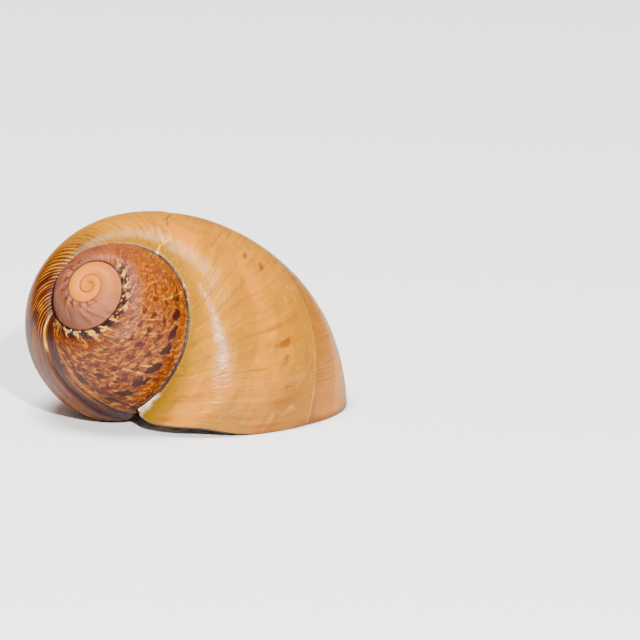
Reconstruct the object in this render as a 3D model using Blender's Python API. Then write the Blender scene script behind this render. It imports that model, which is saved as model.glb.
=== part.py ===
"""A land snail shell, right-handed, lying on the rim of its mouth.

The shell grew as one wall wound round an axis, so it is one solid. Seen in a half plane through that axis,
each whorl is a tall oval. It grows by a smooth law as it turns, and each whorl is fastened to the one
before along the suture. The wall's outside is a strip from each suture to the next. Its inside is one
winding hollow that opens at the mouth. Round the axis the wall thickens into the columella, a slim pillar.

Two numbers name a place on the wall. The turn is 0 where the suture ends at the lip, and negative towards
the apex. The angle runs round the oval: 90 degrees is its top, 0 its outermost point, -90 its base and
-180 the pillar. A radius is taken from the axis and a depth from the apex, both in millimetres.
"""

import math

import bmesh
import bpy
import numpy as np
from mathutils import Matrix, Vector

MM = 0.001

# Growth of the tube. Each size is e to the power of a rate times the turn, slowed by a second rate.
HALF_WIDTH = 11.57
HALF_WIDTH_RATE, HALF_WIDTH_SLOWING, HALF_WIDTH_BEND = 0.780, 0.0464, -0.0085
CENTRE_DEPTH = 29.67
DEPTH_RATE, DEPTH_SLOWING = 1.223, 0.175
# Radius of the oval's centre, in half widths, and how it falls towards the apex.
CENTRE_RATIO, CENTRE_FALL, CENTRE_BEND = 1.1435, 0.215, 0.0366
# Heights of the oval above and below its centre, in half widths, and how square its outline is.
UPPER_HEIGHT, UPPER_RATE = 1.408, -0.041
LOWER_HEIGHT, LOWER_RATE = 1.623, 0.0235
UPPER_POWER, LOWER_POWER = 2.0, 2.25
# From its lowest point the base rises to the columella along this much of an ellipse.
BASE_ARC = math.radians(62)
TOP_LEAN = -0.127
# The first whorls are tiny: before this turn each size shrinks faster, down to a small round nucleus.
NUCLEUS_TURN, NUCLEUS_TAPER = -2.5, 0.55
FIRST_TURN = -4.5
NUCLEUS_DOME = 0.22
# A growth pause drew the tube in a little.
PAUSE_TURN, PAUSE_SPREAD, PAUSE_DEPTH = -0.404, 0.099, 0.077

# How far the lip lies behind the suture's end, in turns, as it runs round the mouth (0 to 1).
LIP_LAG = (0.485, -0.129, -0.063)
# Not far from the suture the lip is notched: depth in turns, and place and spread as shares of the way round.
NOTCH_DEPTH, NOTCH_PLACE, NOTCH_SPREAD = 0.007, 0.15, 0.06

# The wall, the lip's bead and its flare, and the pillar round the axis.
WALL = 0.80
WALL_THINNING = 0.45
LIP_THICKNESS = 0.90
LIP_FLARE = 0.10
# The columella widens with depth, and from its neck it draws in again to run into the lip. Where a whorl
# meets it, a fillet rounds the corner: its width and length are in half widths of the tube.
COLUMELLA_SLOPE = 0.058
COLUMELLA_NECK, COLUMELLA_FOOT, COLUMELLA_TAPER = 18.0, 35.0, 0.62
FILLET_WIDTH, FILLET_LENGTH, FILLET_FADE = 0.30, 2.0, 0.35
UMBILICUS_LEVEL, CAVITY_LEVEL = 0.78, 0.66
HOLLOW_TURNS = 2.6

# The mesh: columns in a turn, and points along each stretch of a column.
COLUMNS = 40
STRIP_CELLS = 6
BASE_CELLS = 9
RIM_CELLS = 4
PILLAR_CELLS = 4
# The columella's round end: rings as shares of its radius across and along.
COLUMELLA_END = ((0.86, 0.22), (0.5, 0.42))
LIP_OFFSETS = (0.021, 0.011, 0.004)
HOLLOW_STEPS = 34

# How the shell lies on the rim of its mouth. It is spun about its axis, and the axis leans from upright
# towards a heading. The points that it rests on are worn flat.
SPIN, LEAN, HEADING = math.radians(20.5), math.radians(55.75), math.radians(-118.5)
REST_WEAR = 0.15


def signed_power(value, power):
    """The value's size to a power, with its sign kept."""
    return np.sign(value) * np.abs(value) ** power


def nucleus_factor(turn):
    """What shrinks each size in the first whorls."""
    return np.exp(-NUCLEUS_TAPER * np.minimum(turn - NUCLEUS_TURN, 0.0) ** 2)


def smooth_half_width(turn):
    """The tube's half width before the growth pause is taken off."""
    growth = np.exp(HALF_WIDTH_RATE * turn + HALF_WIDTH_SLOWING * turn**2 + HALF_WIDTH_BEND * turn**3)
    return HALF_WIDTH * growth * nucleus_factor(turn)


def half_width(turn):
    """The tube's half width."""
    pause = PAUSE_DEPTH * np.exp(-(((turn - PAUSE_TURN) / PAUSE_SPREAD) ** 2))
    return smooth_half_width(turn) * (1 - pause)


def centre_radius(turn):
    """The radius of the oval's centre."""
    ratio = CENTRE_RATIO * (1 + CENTRE_FALL * turn + CENTRE_BEND * turn**2)
    return ratio * smooth_half_width(turn)


def centre_depth(turn):
    """The depth of the oval's centre."""
    return CENTRE_DEPTH * np.exp(DEPTH_RATE * turn + DEPTH_SLOWING * turn**2) * nucleus_factor(turn)


def upper_height(turn):
    """The oval's height above its centre."""
    return UPPER_HEIGHT * np.exp(UPPER_RATE * turn) * half_width(turn)


def lower_height(turn):
    """The oval's height below its centre."""
    return LOWER_HEIGHT * np.exp(LOWER_RATE * turn) * half_width(turn)


def ease(share):
    """The share from 0 to 1, with a soft start and a soft end."""
    share = np.clip(share, 0, 1)
    return share * share * (3 - 2 * share)


def pillar_radius(depth):
    """The columella's radius."""
    taper = COLUMELLA_TAPER * ease((depth - COLUMELLA_NECK) / (COLUMELLA_FOOT - COLUMELLA_NECK))
    return COLUMELLA_SLOPE * depth * (1 - taper)


def lip_lag(share):
    """How many turns the lip lies behind the suture's end, share of the way round the mouth."""
    notch = NOTCH_DEPTH * np.exp(-(((share - NOTCH_PLACE) / NOTCH_SPREAD) ** 2))
    return LIP_LAG[0] * share + LIP_LAG[1] * share**2 + LIP_LAG[2] * share**3 + notch


def fillet(turn):
    """How far the corner between whorl and columella is filled. The lip has none."""
    return FILLET_WIDTH * half_width(turn) * ease((-lip_lag(1.0) - turn) / FILLET_FADE)


def pillar_points(turn, top_turn, top, low_turn, low, depths):
    """Points down the columella between a whorl that meets it at the top depth and one at the low depth."""
    upper = 1 - (depths - top) / (FILLET_LENGTH * half_width(top_turn))
    lower = 1 - (low - depths) / (FILLET_LENGTH * half_width(low_turn))
    extra = fillet(top_turn) * np.clip(upper, 0, 1) ** 2 + fillet(low_turn) * np.clip(lower, 0, 1) ** 2
    return place(turn, pillar_radius(depths) + extra, depths)


def wall_at(turn):
    """Wall thickness, which falls off towards the apex."""
    return WALL * np.exp(WALL_THINNING * turn) * np.sqrt(nucleus_factor(turn))


def oval(turn, angle, inset=0.0, level=UMBILICUS_LEVEL):
    """Radius and depth of the whorl's oval, drawn in by inset; level is how high it meets the pillar."""
    turn, angle = np.broadcast_arrays(np.asarray(turn, float), np.asarray(angle, float))
    middle, depth = centre_radius(turn), centre_depth(turn)
    wide = half_width(turn) - inset
    up = upper_height(turn) - inset
    down = lower_height(turn) - inset
    across, along = np.cos(angle), np.sin(angle)

    rise = up * signed_power(along, 2 / UPPER_POWER)
    reach = signed_power(across, 2 / UPPER_POWER)
    upper_radius = middle + np.where(across > 0, wide, 0.98 * middle - inset) * reach
    upper_radius = upper_radius + np.where(across > 0, TOP_LEAN * rise * reach, 0.0)

    drop = down * np.abs(along) ** (2 / LOWER_POWER)
    lower_radius = middle + wide * np.abs(across) ** (2 / LOWER_POWER)
    lower_radius = lower_radius - TOP_LEAN * drop * np.abs(across) ** (2 / LOWER_POWER)

    pillar = pillar_radius(depth + level * down) + fillet(turn)
    swing = (-math.pi / 2 - angle) * BASE_ARC / (math.pi / 2)
    inward = np.sin(swing) / math.sin(BASE_ARC)
    under = (np.cos(swing) - math.cos(BASE_ARC)) / (1 - math.cos(BASE_ARC))
    inner_radius = middle - (middle - pillar) * inward
    inner_drop = down * (level + (1 - level) * under)

    above = along > 0
    outward = across > 0
    radius = np.where(above, upper_radius, np.where(outward, lower_radius, inner_radius))
    below = np.where(above, depth - rise, depth + np.where(outward, drop, inner_drop))
    return radius, below


def outside_oval(turn, radius, depth):
    """Above 0 where a point lies outside the upper or outer part of a whorl's oval."""
    wide, middle = half_width(turn), centre_radius(turn)
    above = centre_depth(turn) - depth
    upper = above > 0
    tall = np.where(upper, upper_height(turn), lower_height(turn))
    power = np.where(upper, UPPER_POWER, LOWER_POWER)
    level = np.clip(np.abs(above) / tall, 0, 1) ** power
    reach = np.maximum(1 - level, 0) ** (1 / power)
    edge = middle + reach * (wide + TOP_LEAN * above)
    return np.where(np.abs(above) < tall, radius - edge, 1.0)


def oval_angle(turn, depth):
    """The angle at which the outer part of a whorl's oval lies at a depth."""
    above = centre_depth(turn) - depth
    upper = above > 0
    tall = np.where(upper, upper_height(turn), lower_height(turn))
    power = np.where(upper, UPPER_POWER, LOWER_POWER)
    along = signed_power(np.clip(above / tall, -1, 1), power / 2)
    across = np.sqrt(np.maximum(1 - along**2, 0))
    return np.arctan2(along, across)


def suture_angle(turn, inset=0.0):
    """The angle at which a whorl's oval, drawn in by inset, meets the whorl a turn before."""
    turn = np.asarray(turn, float)
    low, high = np.full(turn.shape, math.radians(-20)), np.full(turn.shape, math.radians(175))
    for _ in range(40):
        middle = (low + high) / 2
        radius, depth = oval(turn, middle, inset)
        outside = outside_oval(turn - 1, radius, depth) > 0
        low, high = np.where(outside, middle, low), np.where(outside, high, middle)
    return (low + high) / 2


def place(turn, radius, depth):
    """The points, with the axis up and the apex at the origin. The whorls run clockwise from above."""
    heading = -2 * math.pi * np.asarray(turn, float)
    return np.stack([radius * np.cos(heading), radius * np.sin(heading), -depth + 0 * heading], -1)


def wall_point(turn, angle, inset=0.0):
    """Points on the whorl's oval, drawn in by inset."""
    return place(turn, *oval(turn, angle, inset))


def rim_weight(share):
    """The lip's bead and flare fade out where the lip meets the whorl and the pillar."""
    return ease(share / 0.18) * ease((1 - share) / 0.06)


class Mesh:
    """Points and faces of one closed surface."""

    def __init__(self):
        self.points = []
        self.faces = []

    def add(self, points):
        """Adds points and returns their numbers."""
        first = len(self.points)
        self.points.extend(np.asarray(points, float).reshape(-1, 3))
        return list(range(first, len(self.points)))

    def bridge(self, left, right):
        """Faces between two columns with as many points each. Shared points make triangles."""
        for row in range(len(left) - 1):
            ring = [left[row], left[row + 1], right[row + 1], right[row]]
            kept = [n for i, n in enumerate(ring) if n != ring[i - 1]]
            if len(set(kept)) == len(kept) and len(kept) > 2:
                self.faces.append(kept)

    def fan(self, ring, tip):
        """Faces from a ring to a tip."""
        for a, b in zip(ring, ring[1:]):
            if a != b:
                self.faces.append([a, b, tip])


class Shell:
    """Builds the wall's outside, the rim of its mouth and the hollow inside as one closed surface."""

    def __init__(self):
        self.mesh = Mesh()
        self.last = round(-FIRST_TURN * COLUMNS)
        self.front = self.last - COLUMNS
        self.turns = FIRST_TURN + np.arange(self.last + 1) / COLUMNS
        self.tops = suture_angle(self.turns)
        self.lag_end = float(lip_lag(1.0))
        # How far round the mouth each point of the lip lies.
        self.lip_shares = np.linspace(0, 1, STRIP_CELLS + RIM_CELLS + BASE_CELLS + 1)
        # Where the inside of the wall leaves the whorl before, at the lip.
        self.inner_top = float(suture_angle(0.0, WALL))
        self.meeting = float(oval_angle(-1.0, oval(0.0, self.inner_top, WALL)[1]))
        numbers = self.mesh.add(wall_point(self.turns[COLUMNS:], self.tops[COLUMNS:]))
        self.suture = [None] * COLUMNS + numbers

    def build(self):
        """The whole surface, in millimetres, with the axis up."""
        self.last_turn(self.strips(self.nucleus()))
        return self.mesh

    def lower_angle(self, column):
        """The angle at which the next whorl is fastened to this column."""
        depth = oval(self.turns[column] + 1, self.tops[column + COLUMNS])[1]
        return float(oval_angle(self.turns[column], depth))

    def strip_angles(self, column):
        """The angles between the sutures above and below this column."""
        top, low = self.tops[column], self.lower_angle(column)
        return top + (low - top) * np.arange(1, STRIP_CELLS) / STRIP_CELLS

    def nucleus(self):
        """The first turn: a strip that starts at no width on the edge of a small round cap."""
        mesh, shares = self.mesh, np.arange(1, STRIP_CELLS) / STRIP_CELLS
        start, end = (np.array(oval(self.turns[n * COLUMNS], self.tops[n * COLUMNS])) for n in (1, 2))
        full = np.stack(oval(self.turns[COLUMNS], self.strip_angles(COLUMNS)), -1)
        bulge = full - (start + shares[:, None] * (end - start))
        full_length = np.linalg.norm(end - start)
        columns = []
        for column in range(COLUMNS + 1):
            turn, low = self.turns[column], column + COLUMNS
            top = self.suture[COLUMNS]
            if column == 0:
                columns.append([top] * (STRIP_CELLS + 1))
                continue
            if column < COLUMNS:
                top = mesh.add(place(turn, *start))[0]
            end = np.array(oval(self.turns[low], self.tops[low]))
            fullness = min(np.linalg.norm(end - start) / full_length, 1.0)
            curve = start + shares[:, None] * (end - start) + bulge * fullness
            columns.append([top, *mesh.add(place(turn, *curve.T)), self.suture[low]])
        for left, right in zip(columns, columns[1:]):
            mesh.bridge(left, right)
        middle = mesh.add([[0.0, 0.0, NUCLEUS_DOME * start[0] - start[1]]])[0]
        mesh.fan([column[0] for column in columns], middle)
        return columns[-1]

    def strips(self, before):
        """The whorls from the nucleus to a turn before the lip."""
        for column in range(COLUMNS + 1, self.front + 1):
            inner = self.mesh.add(wall_point(self.turns[column], self.strip_angles(column)))
            here = [self.suture[column], *inner, self.suture[column + COLUMNS]]
            self.mesh.bridge(before, here)
            before = here
        return before

    def base_angles(self, column):
        """Angles down a column of the last turn, from its suture to the pillar."""
        share = (column - self.front) / COLUMNS
        low, top = self.lower_angle(self.front), self.tops[column]
        upper = top + (low - top) * np.arange(1, STRIP_CELLS + 1) / STRIP_CELLS
        across = low + (self.meeting - low) * np.arange(1, RIM_CELLS + 1) / RIM_CELLS
        down = self.meeting + (-math.pi - self.meeting) * np.arange(1, BASE_CELLS + 1) / BASE_CELLS
        at_front = np.concatenate([upper, across, down])
        even = top + (-math.pi - top) * self.lip_shares[1:]
        return at_front + (even - at_front) * ease(share)

    def base_turns(self, column, angles):
        """The turn of each of those points: a column leans back as the lip does."""
        share = (column - self.front) / COLUMNS
        top = self.tops[column]
        lip = lip_lag((top - angles) / (top + math.pi))
        parietal = self.lag_end * np.clip((self.meeting - angles) / (self.meeting + math.pi), 0, 1)
        return self.turns[column] - (parietal + (lip - parietal) * share)

    def last_turn(self, front_strip):
        """The last turn, with the columella's end, the rim of the mouth and the hollow."""
        mesh, lip_turn = self.mesh, -self.lag_end
        lip_radius, lip_depth = (float(v) for v in oval(lip_turn, -math.pi))
        corner = mesh.add(place(lip_turn, lip_radius, lip_depth))[0]
        # The lip's inner edge meets the pillar here.
        inner_radius, inner_depth = oval(lip_turn, -math.pi, wall_at(lip_turn), CAVITY_LEVEL)
        inner_corner = mesh.add(place(lip_turn, inner_radius, inner_depth))[0]

        # Points of the rim's two ends, on the whorl before and on the pillar.
        angles = self.base_angles(self.front)
        turns = self.base_turns(self.front, angles)
        bow = np.sin(np.pi * np.arange(1, RIM_CELLS) / RIM_CELLS)
        turns[STRIP_CELLS : STRIP_CELLS + RIM_CELLS - 1] += 0.006 * bow
        front_points = wall_point(turns, angles)
        front_column = [self.suture[self.last], *mesh.add(front_points[STRIP_CELLS:])]
        rim_start, parietal = front_column[: RIM_CELLS + 1], front_column[RIM_CELLS:]

        top_depth = float(oval(lip_turn - 1, -math.pi)[1])
        depths = np.linspace(top_depth, inner_depth, PILLAR_CELLS + 1)[1:-1]
        pillar = mesh.add(pillar_points(lip_turn, lip_turn - 1, top_depth, lip_turn, inner_depth, depths))
        depths = np.linspace(inner_depth, lip_depth, RIM_CELLS + 1)[1:-1]
        rim_end = mesh.add(place(lip_turn + 0.02 * bow, pillar_radius(depths), depths))
        rim_end = [inner_corner, *rim_end, corner]

        # The outside of the last turn, column by column.
        sections = [[*front_strip, *front_column[1:]]]
        feet = [[*pillar, *rim_end]]
        pillar_rows = PILLAR_CELLS + RIM_CELLS
        for column in range(self.front + 1, self.last):
            angles = self.base_angles(column)
            turns = self.base_turns(column, angles)
            sections.append([self.suture[column], *mesh.add(wall_point(turns, angles))])
            end = float(oval(turns[-1], -math.pi)[1])
            depths = np.linspace(end, lip_depth, pillar_rows + 1)[1:]
            feet.append(mesh.add(pillar_points(turns[-1], turns[-1], end, lip_turn, lip_depth, depths)))
        # Close to the lip the columns draw together, so that the flare is round.
        lip = [[self.suture[self.last], *mesh.add(self.lip_edge(n)[:-1]), corner] for n in (*LIP_OFFSETS, 0.0)]
        for left, right in zip([*sections, *lip], [*sections[1:], *lip]):
            mesh.bridge(left, right)

        feet = [[section[-1], *foot] for section, foot in zip(sections, feet)]
        feet.append([corner] * (pillar_rows + 1))
        feet = [[*foot, *ring] for foot, ring in zip(feet, self.pillar_end(lip_radius, lip_depth))]
        for left, right in zip(feet, feet[1:]):
            mesh.bridge(left, right)
        end = mesh.add([[0.0, 0.0, -lip_depth - 0.5 * lip_radius]])[0]
        mesh.fan([foot[-1] for foot in feet], end)
        self.rim_and_hollow(lip[-1], rim_start, rim_end, parietal, pillar)

    def pillar_end(self, radius, depth):
        """For each column of the last turn, its points on the rings of the columella's round end."""
        rings = []
        for column in range(COLUMNS):
            turn = -1 - self.lag_end + column / COLUMNS
            ends = [place(turn, across * radius, depth + along * radius) for across, along in COLUMELLA_END]
            rings.append(self.mesh.add(ends))
        return [*rings, rings[0]]

    def lip_edge(self, offset):
        """Points along the lip's outer edge, or offset turns behind it, without the one at the suture."""
        share, top = self.lip_shares[1:], self.tops[self.last]
        weight = rim_weight(share)
        turns = -lip_lag(share) - offset * weight
        flare = LIP_FLARE * weight * (1 - offset / LIP_OFFSETS[0]) ** 2
        return wall_point(turns, top + (-math.pi - top) * share, -flare)

    def rim_and_hollow(self, outer, rim_start, rim_end, parietal, pillar):
        """The round rim of the mouth, and the hollow behind it."""
        mesh, weight = self.mesh, rim_weight(self.lip_shares)
        inset = WALL + (LIP_THICKNESS - WALL - LIP_FLARE) * weight
        inner = self.inner_wall(0.0, inset, self.inner_top)
        # Forward is the way the lip grew.
        ahead = self.inner_wall(-0.01, inset, self.inner_top) - inner
        ahead = ahead / np.linalg.norm(ahead, axis=1)[:, None]
        outer_points = np.array([mesh.points[n] for n in outer])
        inner[0], inner[-1] = mesh.points[rim_start[-1]], mesh.points[rim_end[0]]
        middle, half = (outer_points + inner) / 2, (outer_points - inner) / 2
        radius = np.linalg.norm(half, axis=1)[:, None]
        previous = outer
        for step in range(1, RIM_CELLS):
            swing = math.pi * step / RIM_CELLS
            ring = middle + half * math.cos(swing) + ahead * radius * math.sin(swing)
            here = [rim_start[step], *mesh.add(ring[1:-1]), rim_end[RIM_CELLS - step]]
            mesh.bridge(previous, here)
            previous = here
        inner_edge = [rim_start[-1], *mesh.add(inner[1:-1]), rim_end[0]]
        mesh.bridge(previous, inner_edge)

        # Rings of the hollow: the outer wall's inside, up the pillar, and back along the whorl before.
        ring = [*inner_edge, *reversed(pillar), *reversed(parietal)]
        start = LIP_OFFSETS[0]
        steps = np.arange(1, HOLLOW_STEPS + 1) / HOLLOW_STEPS
        for back in (*LIP_OFFSETS[::-1], *(start + (HOLLOW_TURNS - start) * steps**1.15)):
            here = mesh.add(self.hollow_ring(back))
            here.append(here[0])
            mesh.bridge(ring, here)
            ring = here
        deepest = mesh.add([np.mean([mesh.points[n] for n in ring[:-1]], axis=0)])[0]
        mesh.fan(ring, deepest)

    def inner_wall(self, back, inset, inner_top):
        """Points of the wall's inside, back turns behind the lip."""
        angles = inner_top + (-math.pi - inner_top) * self.lip_shares
        turns = -back - lip_lag(self.lip_shares)
        return place(turns, *oval(turns, angles, inset, CAVITY_LEVEL))

    def hollow_ring(self, back):
        """A ring of the hollow, back turns behind the lip."""
        bead = rim_weight(self.lip_shares) * max(1 - back / LIP_OFFSETS[0], 0) ** 2
        inset = wall_at(-back - lip_lag(self.lip_shares)) + (LIP_THICKNESS - WALL - LIP_FLARE) * bead
        inner_top = float(suture_angle(-back, wall_at(-back)))
        wall = self.inner_wall(back, inset, inner_top)
        radius, depth = oval(-back, inner_top, wall_at(-back))
        meeting = float(oval_angle(-1 - back, depth))
        wall[0] = place(-back, radius, depth)
        end = -back - self.lag_end
        low, high = -wall[-1][2], float(oval(end - 1, -math.pi)[1])
        depths = np.linspace(low, high, PILLAR_CELLS + 1)[1:-1]
        pillar = pillar_points(end, end - 1, high, end, low, depths)
        shares = np.arange(BASE_CELLS, 0, -1) / BASE_CELLS
        behind = -1 - back - self.lag_end * shares
        return np.concatenate([wall, pillar, wall_point(behind, meeting + (-math.pi - meeting) * shares)])


def solid_from(mesh):
    """A Blender mesh of the surface, turned to lie as the shell rests, in metres."""
    built = bmesh.new()
    points = [built.verts.new(Vector(p) * MM) for p in mesh.points]
    for face in mesh.faces:
        built.faces.new([points[n] for n in face])
    lonely = [v for v in built.verts if not v.link_faces]
    bmesh.ops.delete(built, geom=lonely, context="VERTS")
    turn = Matrix.Rotation(HEADING, 4, "Z") @ Matrix.Rotation(LEAN, 4, "Y") @ Matrix.Rotation(SPIN, 4, "Z")
    bmesh.ops.transform(built, matrix=turn, verts=built.verts)
    bmesh.ops.recalc_face_normals(built, faces=built.faces)
    return built


def rest_on_surface(built):
    """Sets the lowest points just under the surface, cuts them flat there and centres the shell."""
    low = min(v.co.z for v in built.verts) + REST_WEAR * MM
    bmesh.ops.translate(built, vec=(0, 0, -low), verts=built.verts)
    geometry = [*built.verts, *built.edges, *built.faces]
    bmesh.ops.bisect_plane(built, geom=geometry, plane_co=(0, 0, 0), plane_no=(0, 0, -1), clear_outer=True)
    bmesh.ops.holes_fill(built, edges=[e for e in built.edges if e.is_boundary])
    middle = [(min(v.co[i] for v in built.verts) + max(v.co[i] for v in built.verts)) / 2 for i in (0, 1)]
    bmesh.ops.translate(built, vec=(-middle[0], -middle[1], 0), verts=built.verts)
    bmesh.ops.triangulate(built, faces=[f for f in built.faces if len(f.verts) > 4])


def shell_material():
    """Polished shell, yellow ochre."""
    material = bpy.data.materials.new("shell")
    material.use_nodes = True
    finish = material.node_tree.nodes["Principled BSDF"]
    finish.inputs["Base Color"].default_value = (0.58, 0.32, 0.09, 1.0)
    finish.inputs["Roughness"].default_value = 0.32
    finish.inputs["Metallic"].default_value = 0.0
    return material


def main():
    """Clears the scene and builds the shell."""
    for old in list(bpy.data.objects):
        bpy.data.objects.remove(old)
    built = solid_from(Shell().build())
    rest_on_surface(built)
    data = bpy.data.meshes.new("shell")
    built.to_mesh(data)
    built.free()
    data.shade_smooth()
    data.materials.append(shell_material())
    shell = bpy.data.objects.new("shell", data)
    bpy.context.scene.collection.objects.link(shell)


main()
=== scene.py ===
"""Dresses a right-handed land snail shell that lies on the rim of its mouth.

The fine surface follows the same growth law as the solid that it replaces. Each point of it knows how old
the shell is there and where it lies across the whorl, and both the relief and the colours are drawn from
that, as the animal laid them down. Lengths of the shell are in millimetres until the mesh is made.
"""

import logging
import math
from dataclasses import dataclass, field
from enum import Enum
from functools import reduce

import bpy
import numpy as np
from mathutils import Matrix, Vector


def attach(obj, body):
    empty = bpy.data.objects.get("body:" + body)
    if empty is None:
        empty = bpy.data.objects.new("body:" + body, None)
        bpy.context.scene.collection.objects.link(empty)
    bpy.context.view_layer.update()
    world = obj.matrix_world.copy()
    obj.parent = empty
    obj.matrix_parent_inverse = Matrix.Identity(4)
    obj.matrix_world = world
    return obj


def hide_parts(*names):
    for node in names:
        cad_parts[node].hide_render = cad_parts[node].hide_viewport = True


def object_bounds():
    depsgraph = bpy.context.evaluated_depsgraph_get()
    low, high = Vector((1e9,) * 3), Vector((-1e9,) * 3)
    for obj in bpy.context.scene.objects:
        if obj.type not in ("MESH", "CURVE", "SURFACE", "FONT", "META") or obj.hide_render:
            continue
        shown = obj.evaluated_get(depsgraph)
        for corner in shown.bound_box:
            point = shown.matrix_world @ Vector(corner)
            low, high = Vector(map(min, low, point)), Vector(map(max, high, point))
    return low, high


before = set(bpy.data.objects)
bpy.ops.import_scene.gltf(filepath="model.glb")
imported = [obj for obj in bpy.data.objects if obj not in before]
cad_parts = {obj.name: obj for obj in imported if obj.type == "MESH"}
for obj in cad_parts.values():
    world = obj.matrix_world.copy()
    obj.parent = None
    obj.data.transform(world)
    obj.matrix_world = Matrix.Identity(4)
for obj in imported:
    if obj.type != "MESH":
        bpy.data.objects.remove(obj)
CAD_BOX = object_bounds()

MM = 0.001
LOG = logging.getLogger("snail shell")
# Between these angles, in degrees, a section is searched for its suture, by so many halvings.
SUTURE_SEARCH = (-20, 175)
HALVINGS = 40
# How far from a suture a point counts as lying where there is none, and on the nucleus, in millimetres.
FAR = 30.0
NUCLEUS_AWAY = 5.0

Array = np.ndarray


class Side(Enum):
    """Which side of the wall a point of the surface lies on."""

    OUTSIDE = 0.0
    MOUTH_EDGE = 0.5
    INSIDE = 1.0


def ease(share: Array) -> Array:
    """Returns the share from 0 to 1 with a soft start and a soft end."""
    share = np.clip(share, 0, 1)
    return share * share * (3 - 2 * share)


@dataclass(frozen=True)
class GrowthLaw:
    """The winding of the shell: how its oval section grows and sinks as it turns.

    A turn is 0 where the suture ends at the lip and negative towards the apex. An angle runs round the
    section: 90 degrees is its top, 0 its outermost point, -90 its base and -180 the columella.
    """

    half_width_end: float = 11.57
    width_rates: tuple[float, float, float] = (0.780, 0.0464, -0.0085)
    depth_end: float = 29.67
    depth_rates: tuple[float, float] = (1.223, 0.175)
    centre_ratio: tuple[float, float, float] = (1.1435, 0.215, 0.0366)
    upper_height: tuple[float, float] = (1.408, -0.041)
    lower_height: tuple[float, float] = (1.623, 0.0235)
    upper_power: float = 2.0
    lower_power: float = 2.25
    base_arc: float = math.radians(62)
    top_lean: float = -0.127
    nucleus_turn: float = -2.5
    nucleus_taper: float = 0.55
    pause_turn: float = -0.404
    pause_spread: float = 0.099
    pause_depth: float = 0.077
    lip_lags: tuple[float, float, float] = (0.485, -0.129, -0.063)
    notch_depth: float = 0.007
    notch_place: float = 0.15
    notch_spread: float = 0.06
    wall: float = 0.80
    wall_thinning: float = 0.45
    columella_slope: float = 0.058
    columella_neck: float = 18.0
    columella_foot: float = 35.0
    columella_taper: float = 0.62
    fillet_width: float = 0.30
    fillet_length: float = 2.0
    fillet_fade: float = 0.35
    inner_reach: float = 0.98
    outer_level: float = 0.78
    inner_level: float = 0.66

    def nucleus(self, turn: Array) -> Array:
        """Returns what shrinks each size in the first whorls."""
        return np.exp(-self.nucleus_taper * np.minimum(turn - self.nucleus_turn, 0.0) ** 2)

    def smooth_half_width(self, turn: Array) -> Array:
        """Finds the tube's half width before the growth pause is taken off.

        Args:
            turn: The section's turn.

        Returns:
            The half width.
        """
        first, second, third = self.width_rates
        growth = np.exp(first * turn + second * turn**2 + third * turn**3)
        return self.half_width_end * growth * self.nucleus(turn)

    def half_width(self, turn: Array) -> Array:
        """Returns the tube's half width."""
        pause = self.pause_depth * np.exp(-(((turn - self.pause_turn) / self.pause_spread) ** 2))
        return self.smooth_half_width(turn) * (1 - pause)

    def centre_radius(self, turn: Array) -> Array:
        """Returns how far the section's centre is from the axis."""
        ratio, fall, bend = self.centre_ratio
        return ratio * (1 + fall * turn + bend * turn**2) * self.smooth_half_width(turn)

    def centre_depth(self, turn: Array) -> Array:
        """Returns how deep the section's centre lies under the apex."""
        first, second = self.depth_rates
        return self.depth_end * np.exp(first * turn + second * turn**2) * self.nucleus(turn)

    def above(self, turn: Array) -> Array:
        """Returns the section's height above its centre."""
        return self.upper_height[0] * np.exp(self.upper_height[1] * turn) * self.half_width(turn)

    def below(self, turn: Array) -> Array:
        """Returns the section's height below its centre."""
        return self.lower_height[0] * np.exp(self.lower_height[1] * turn) * self.half_width(turn)

    def lip_lag(self, share: Array) -> Array:
        """Finds how far the lip lies behind the suture's end.

        Args:
            share: The share of the way round the mouth, from the suture to the columella.

        Returns:
            The lag in turns.
        """
        first, second, third = self.lip_lags
        notch = self.notch_depth * np.exp(-(((share - self.notch_place) / self.notch_spread) ** 2))
        return first * share + second * share**2 + third * share**3 + notch

    def pillar_radius(self, depth: Array) -> Array:
        """Returns the columella's radius at a depth."""
        reach = (depth - self.columella_neck) / (self.columella_foot - self.columella_neck)
        return self.columella_slope * depth * (1 - self.columella_taper * ease(reach))

    def fillet(self, turn: Array) -> Array:
        """Returns how far the corner between a whorl and the columella is filled."""
        fade = ease((-self.lip_lag(1.0) - turn) / self.fillet_fade)
        return self.fillet_width * self.half_width(turn) * fade

    def wall_at(self, turn: Array) -> Array:
        """Returns the wall's thickness, which falls off towards the apex."""
        return self.wall * np.exp(self.wall_thinning * turn) * np.sqrt(self.nucleus(turn))

    def oval(
        self, turn: Array, angle: Array, inset: Array = 0.0, level: float | None = None
    ) -> tuple[Array, Array]:
        """Finds a place on the section.

        Args:
            turn: The section's turn.
            angle: The angle round the section, in radians.
            inset: How far the section is drawn in.
            level: How high it meets the columella, as a share of its lower height.

        Returns:
            The radius from the axis and the depth under the apex.
        """
        level = self.outer_level if level is None else level
        turn, angle = np.broadcast_arrays(np.asarray(turn, float), np.asarray(angle, float))
        middle, depth = self.centre_radius(turn), self.centre_depth(turn)
        wide = self.half_width(turn) - inset
        up, down = self.above(turn) - inset, self.below(turn) - inset
        across, along = np.cos(angle), np.sin(angle)

        rise = up * np.sign(along) * np.abs(along) ** (2 / self.upper_power)
        reach = np.sign(across) * np.abs(across) ** (2 / self.upper_power)
        upper = middle + np.where(across > 0, wide, self.inner_reach * middle - inset) * reach
        upper = upper + np.where(across > 0, self.top_lean * rise * reach, 0.0)

        drop = down * np.abs(along) ** (2 / self.lower_power)
        lower = middle + (wide - self.top_lean * drop) * np.abs(across) ** (2 / self.lower_power)

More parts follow.
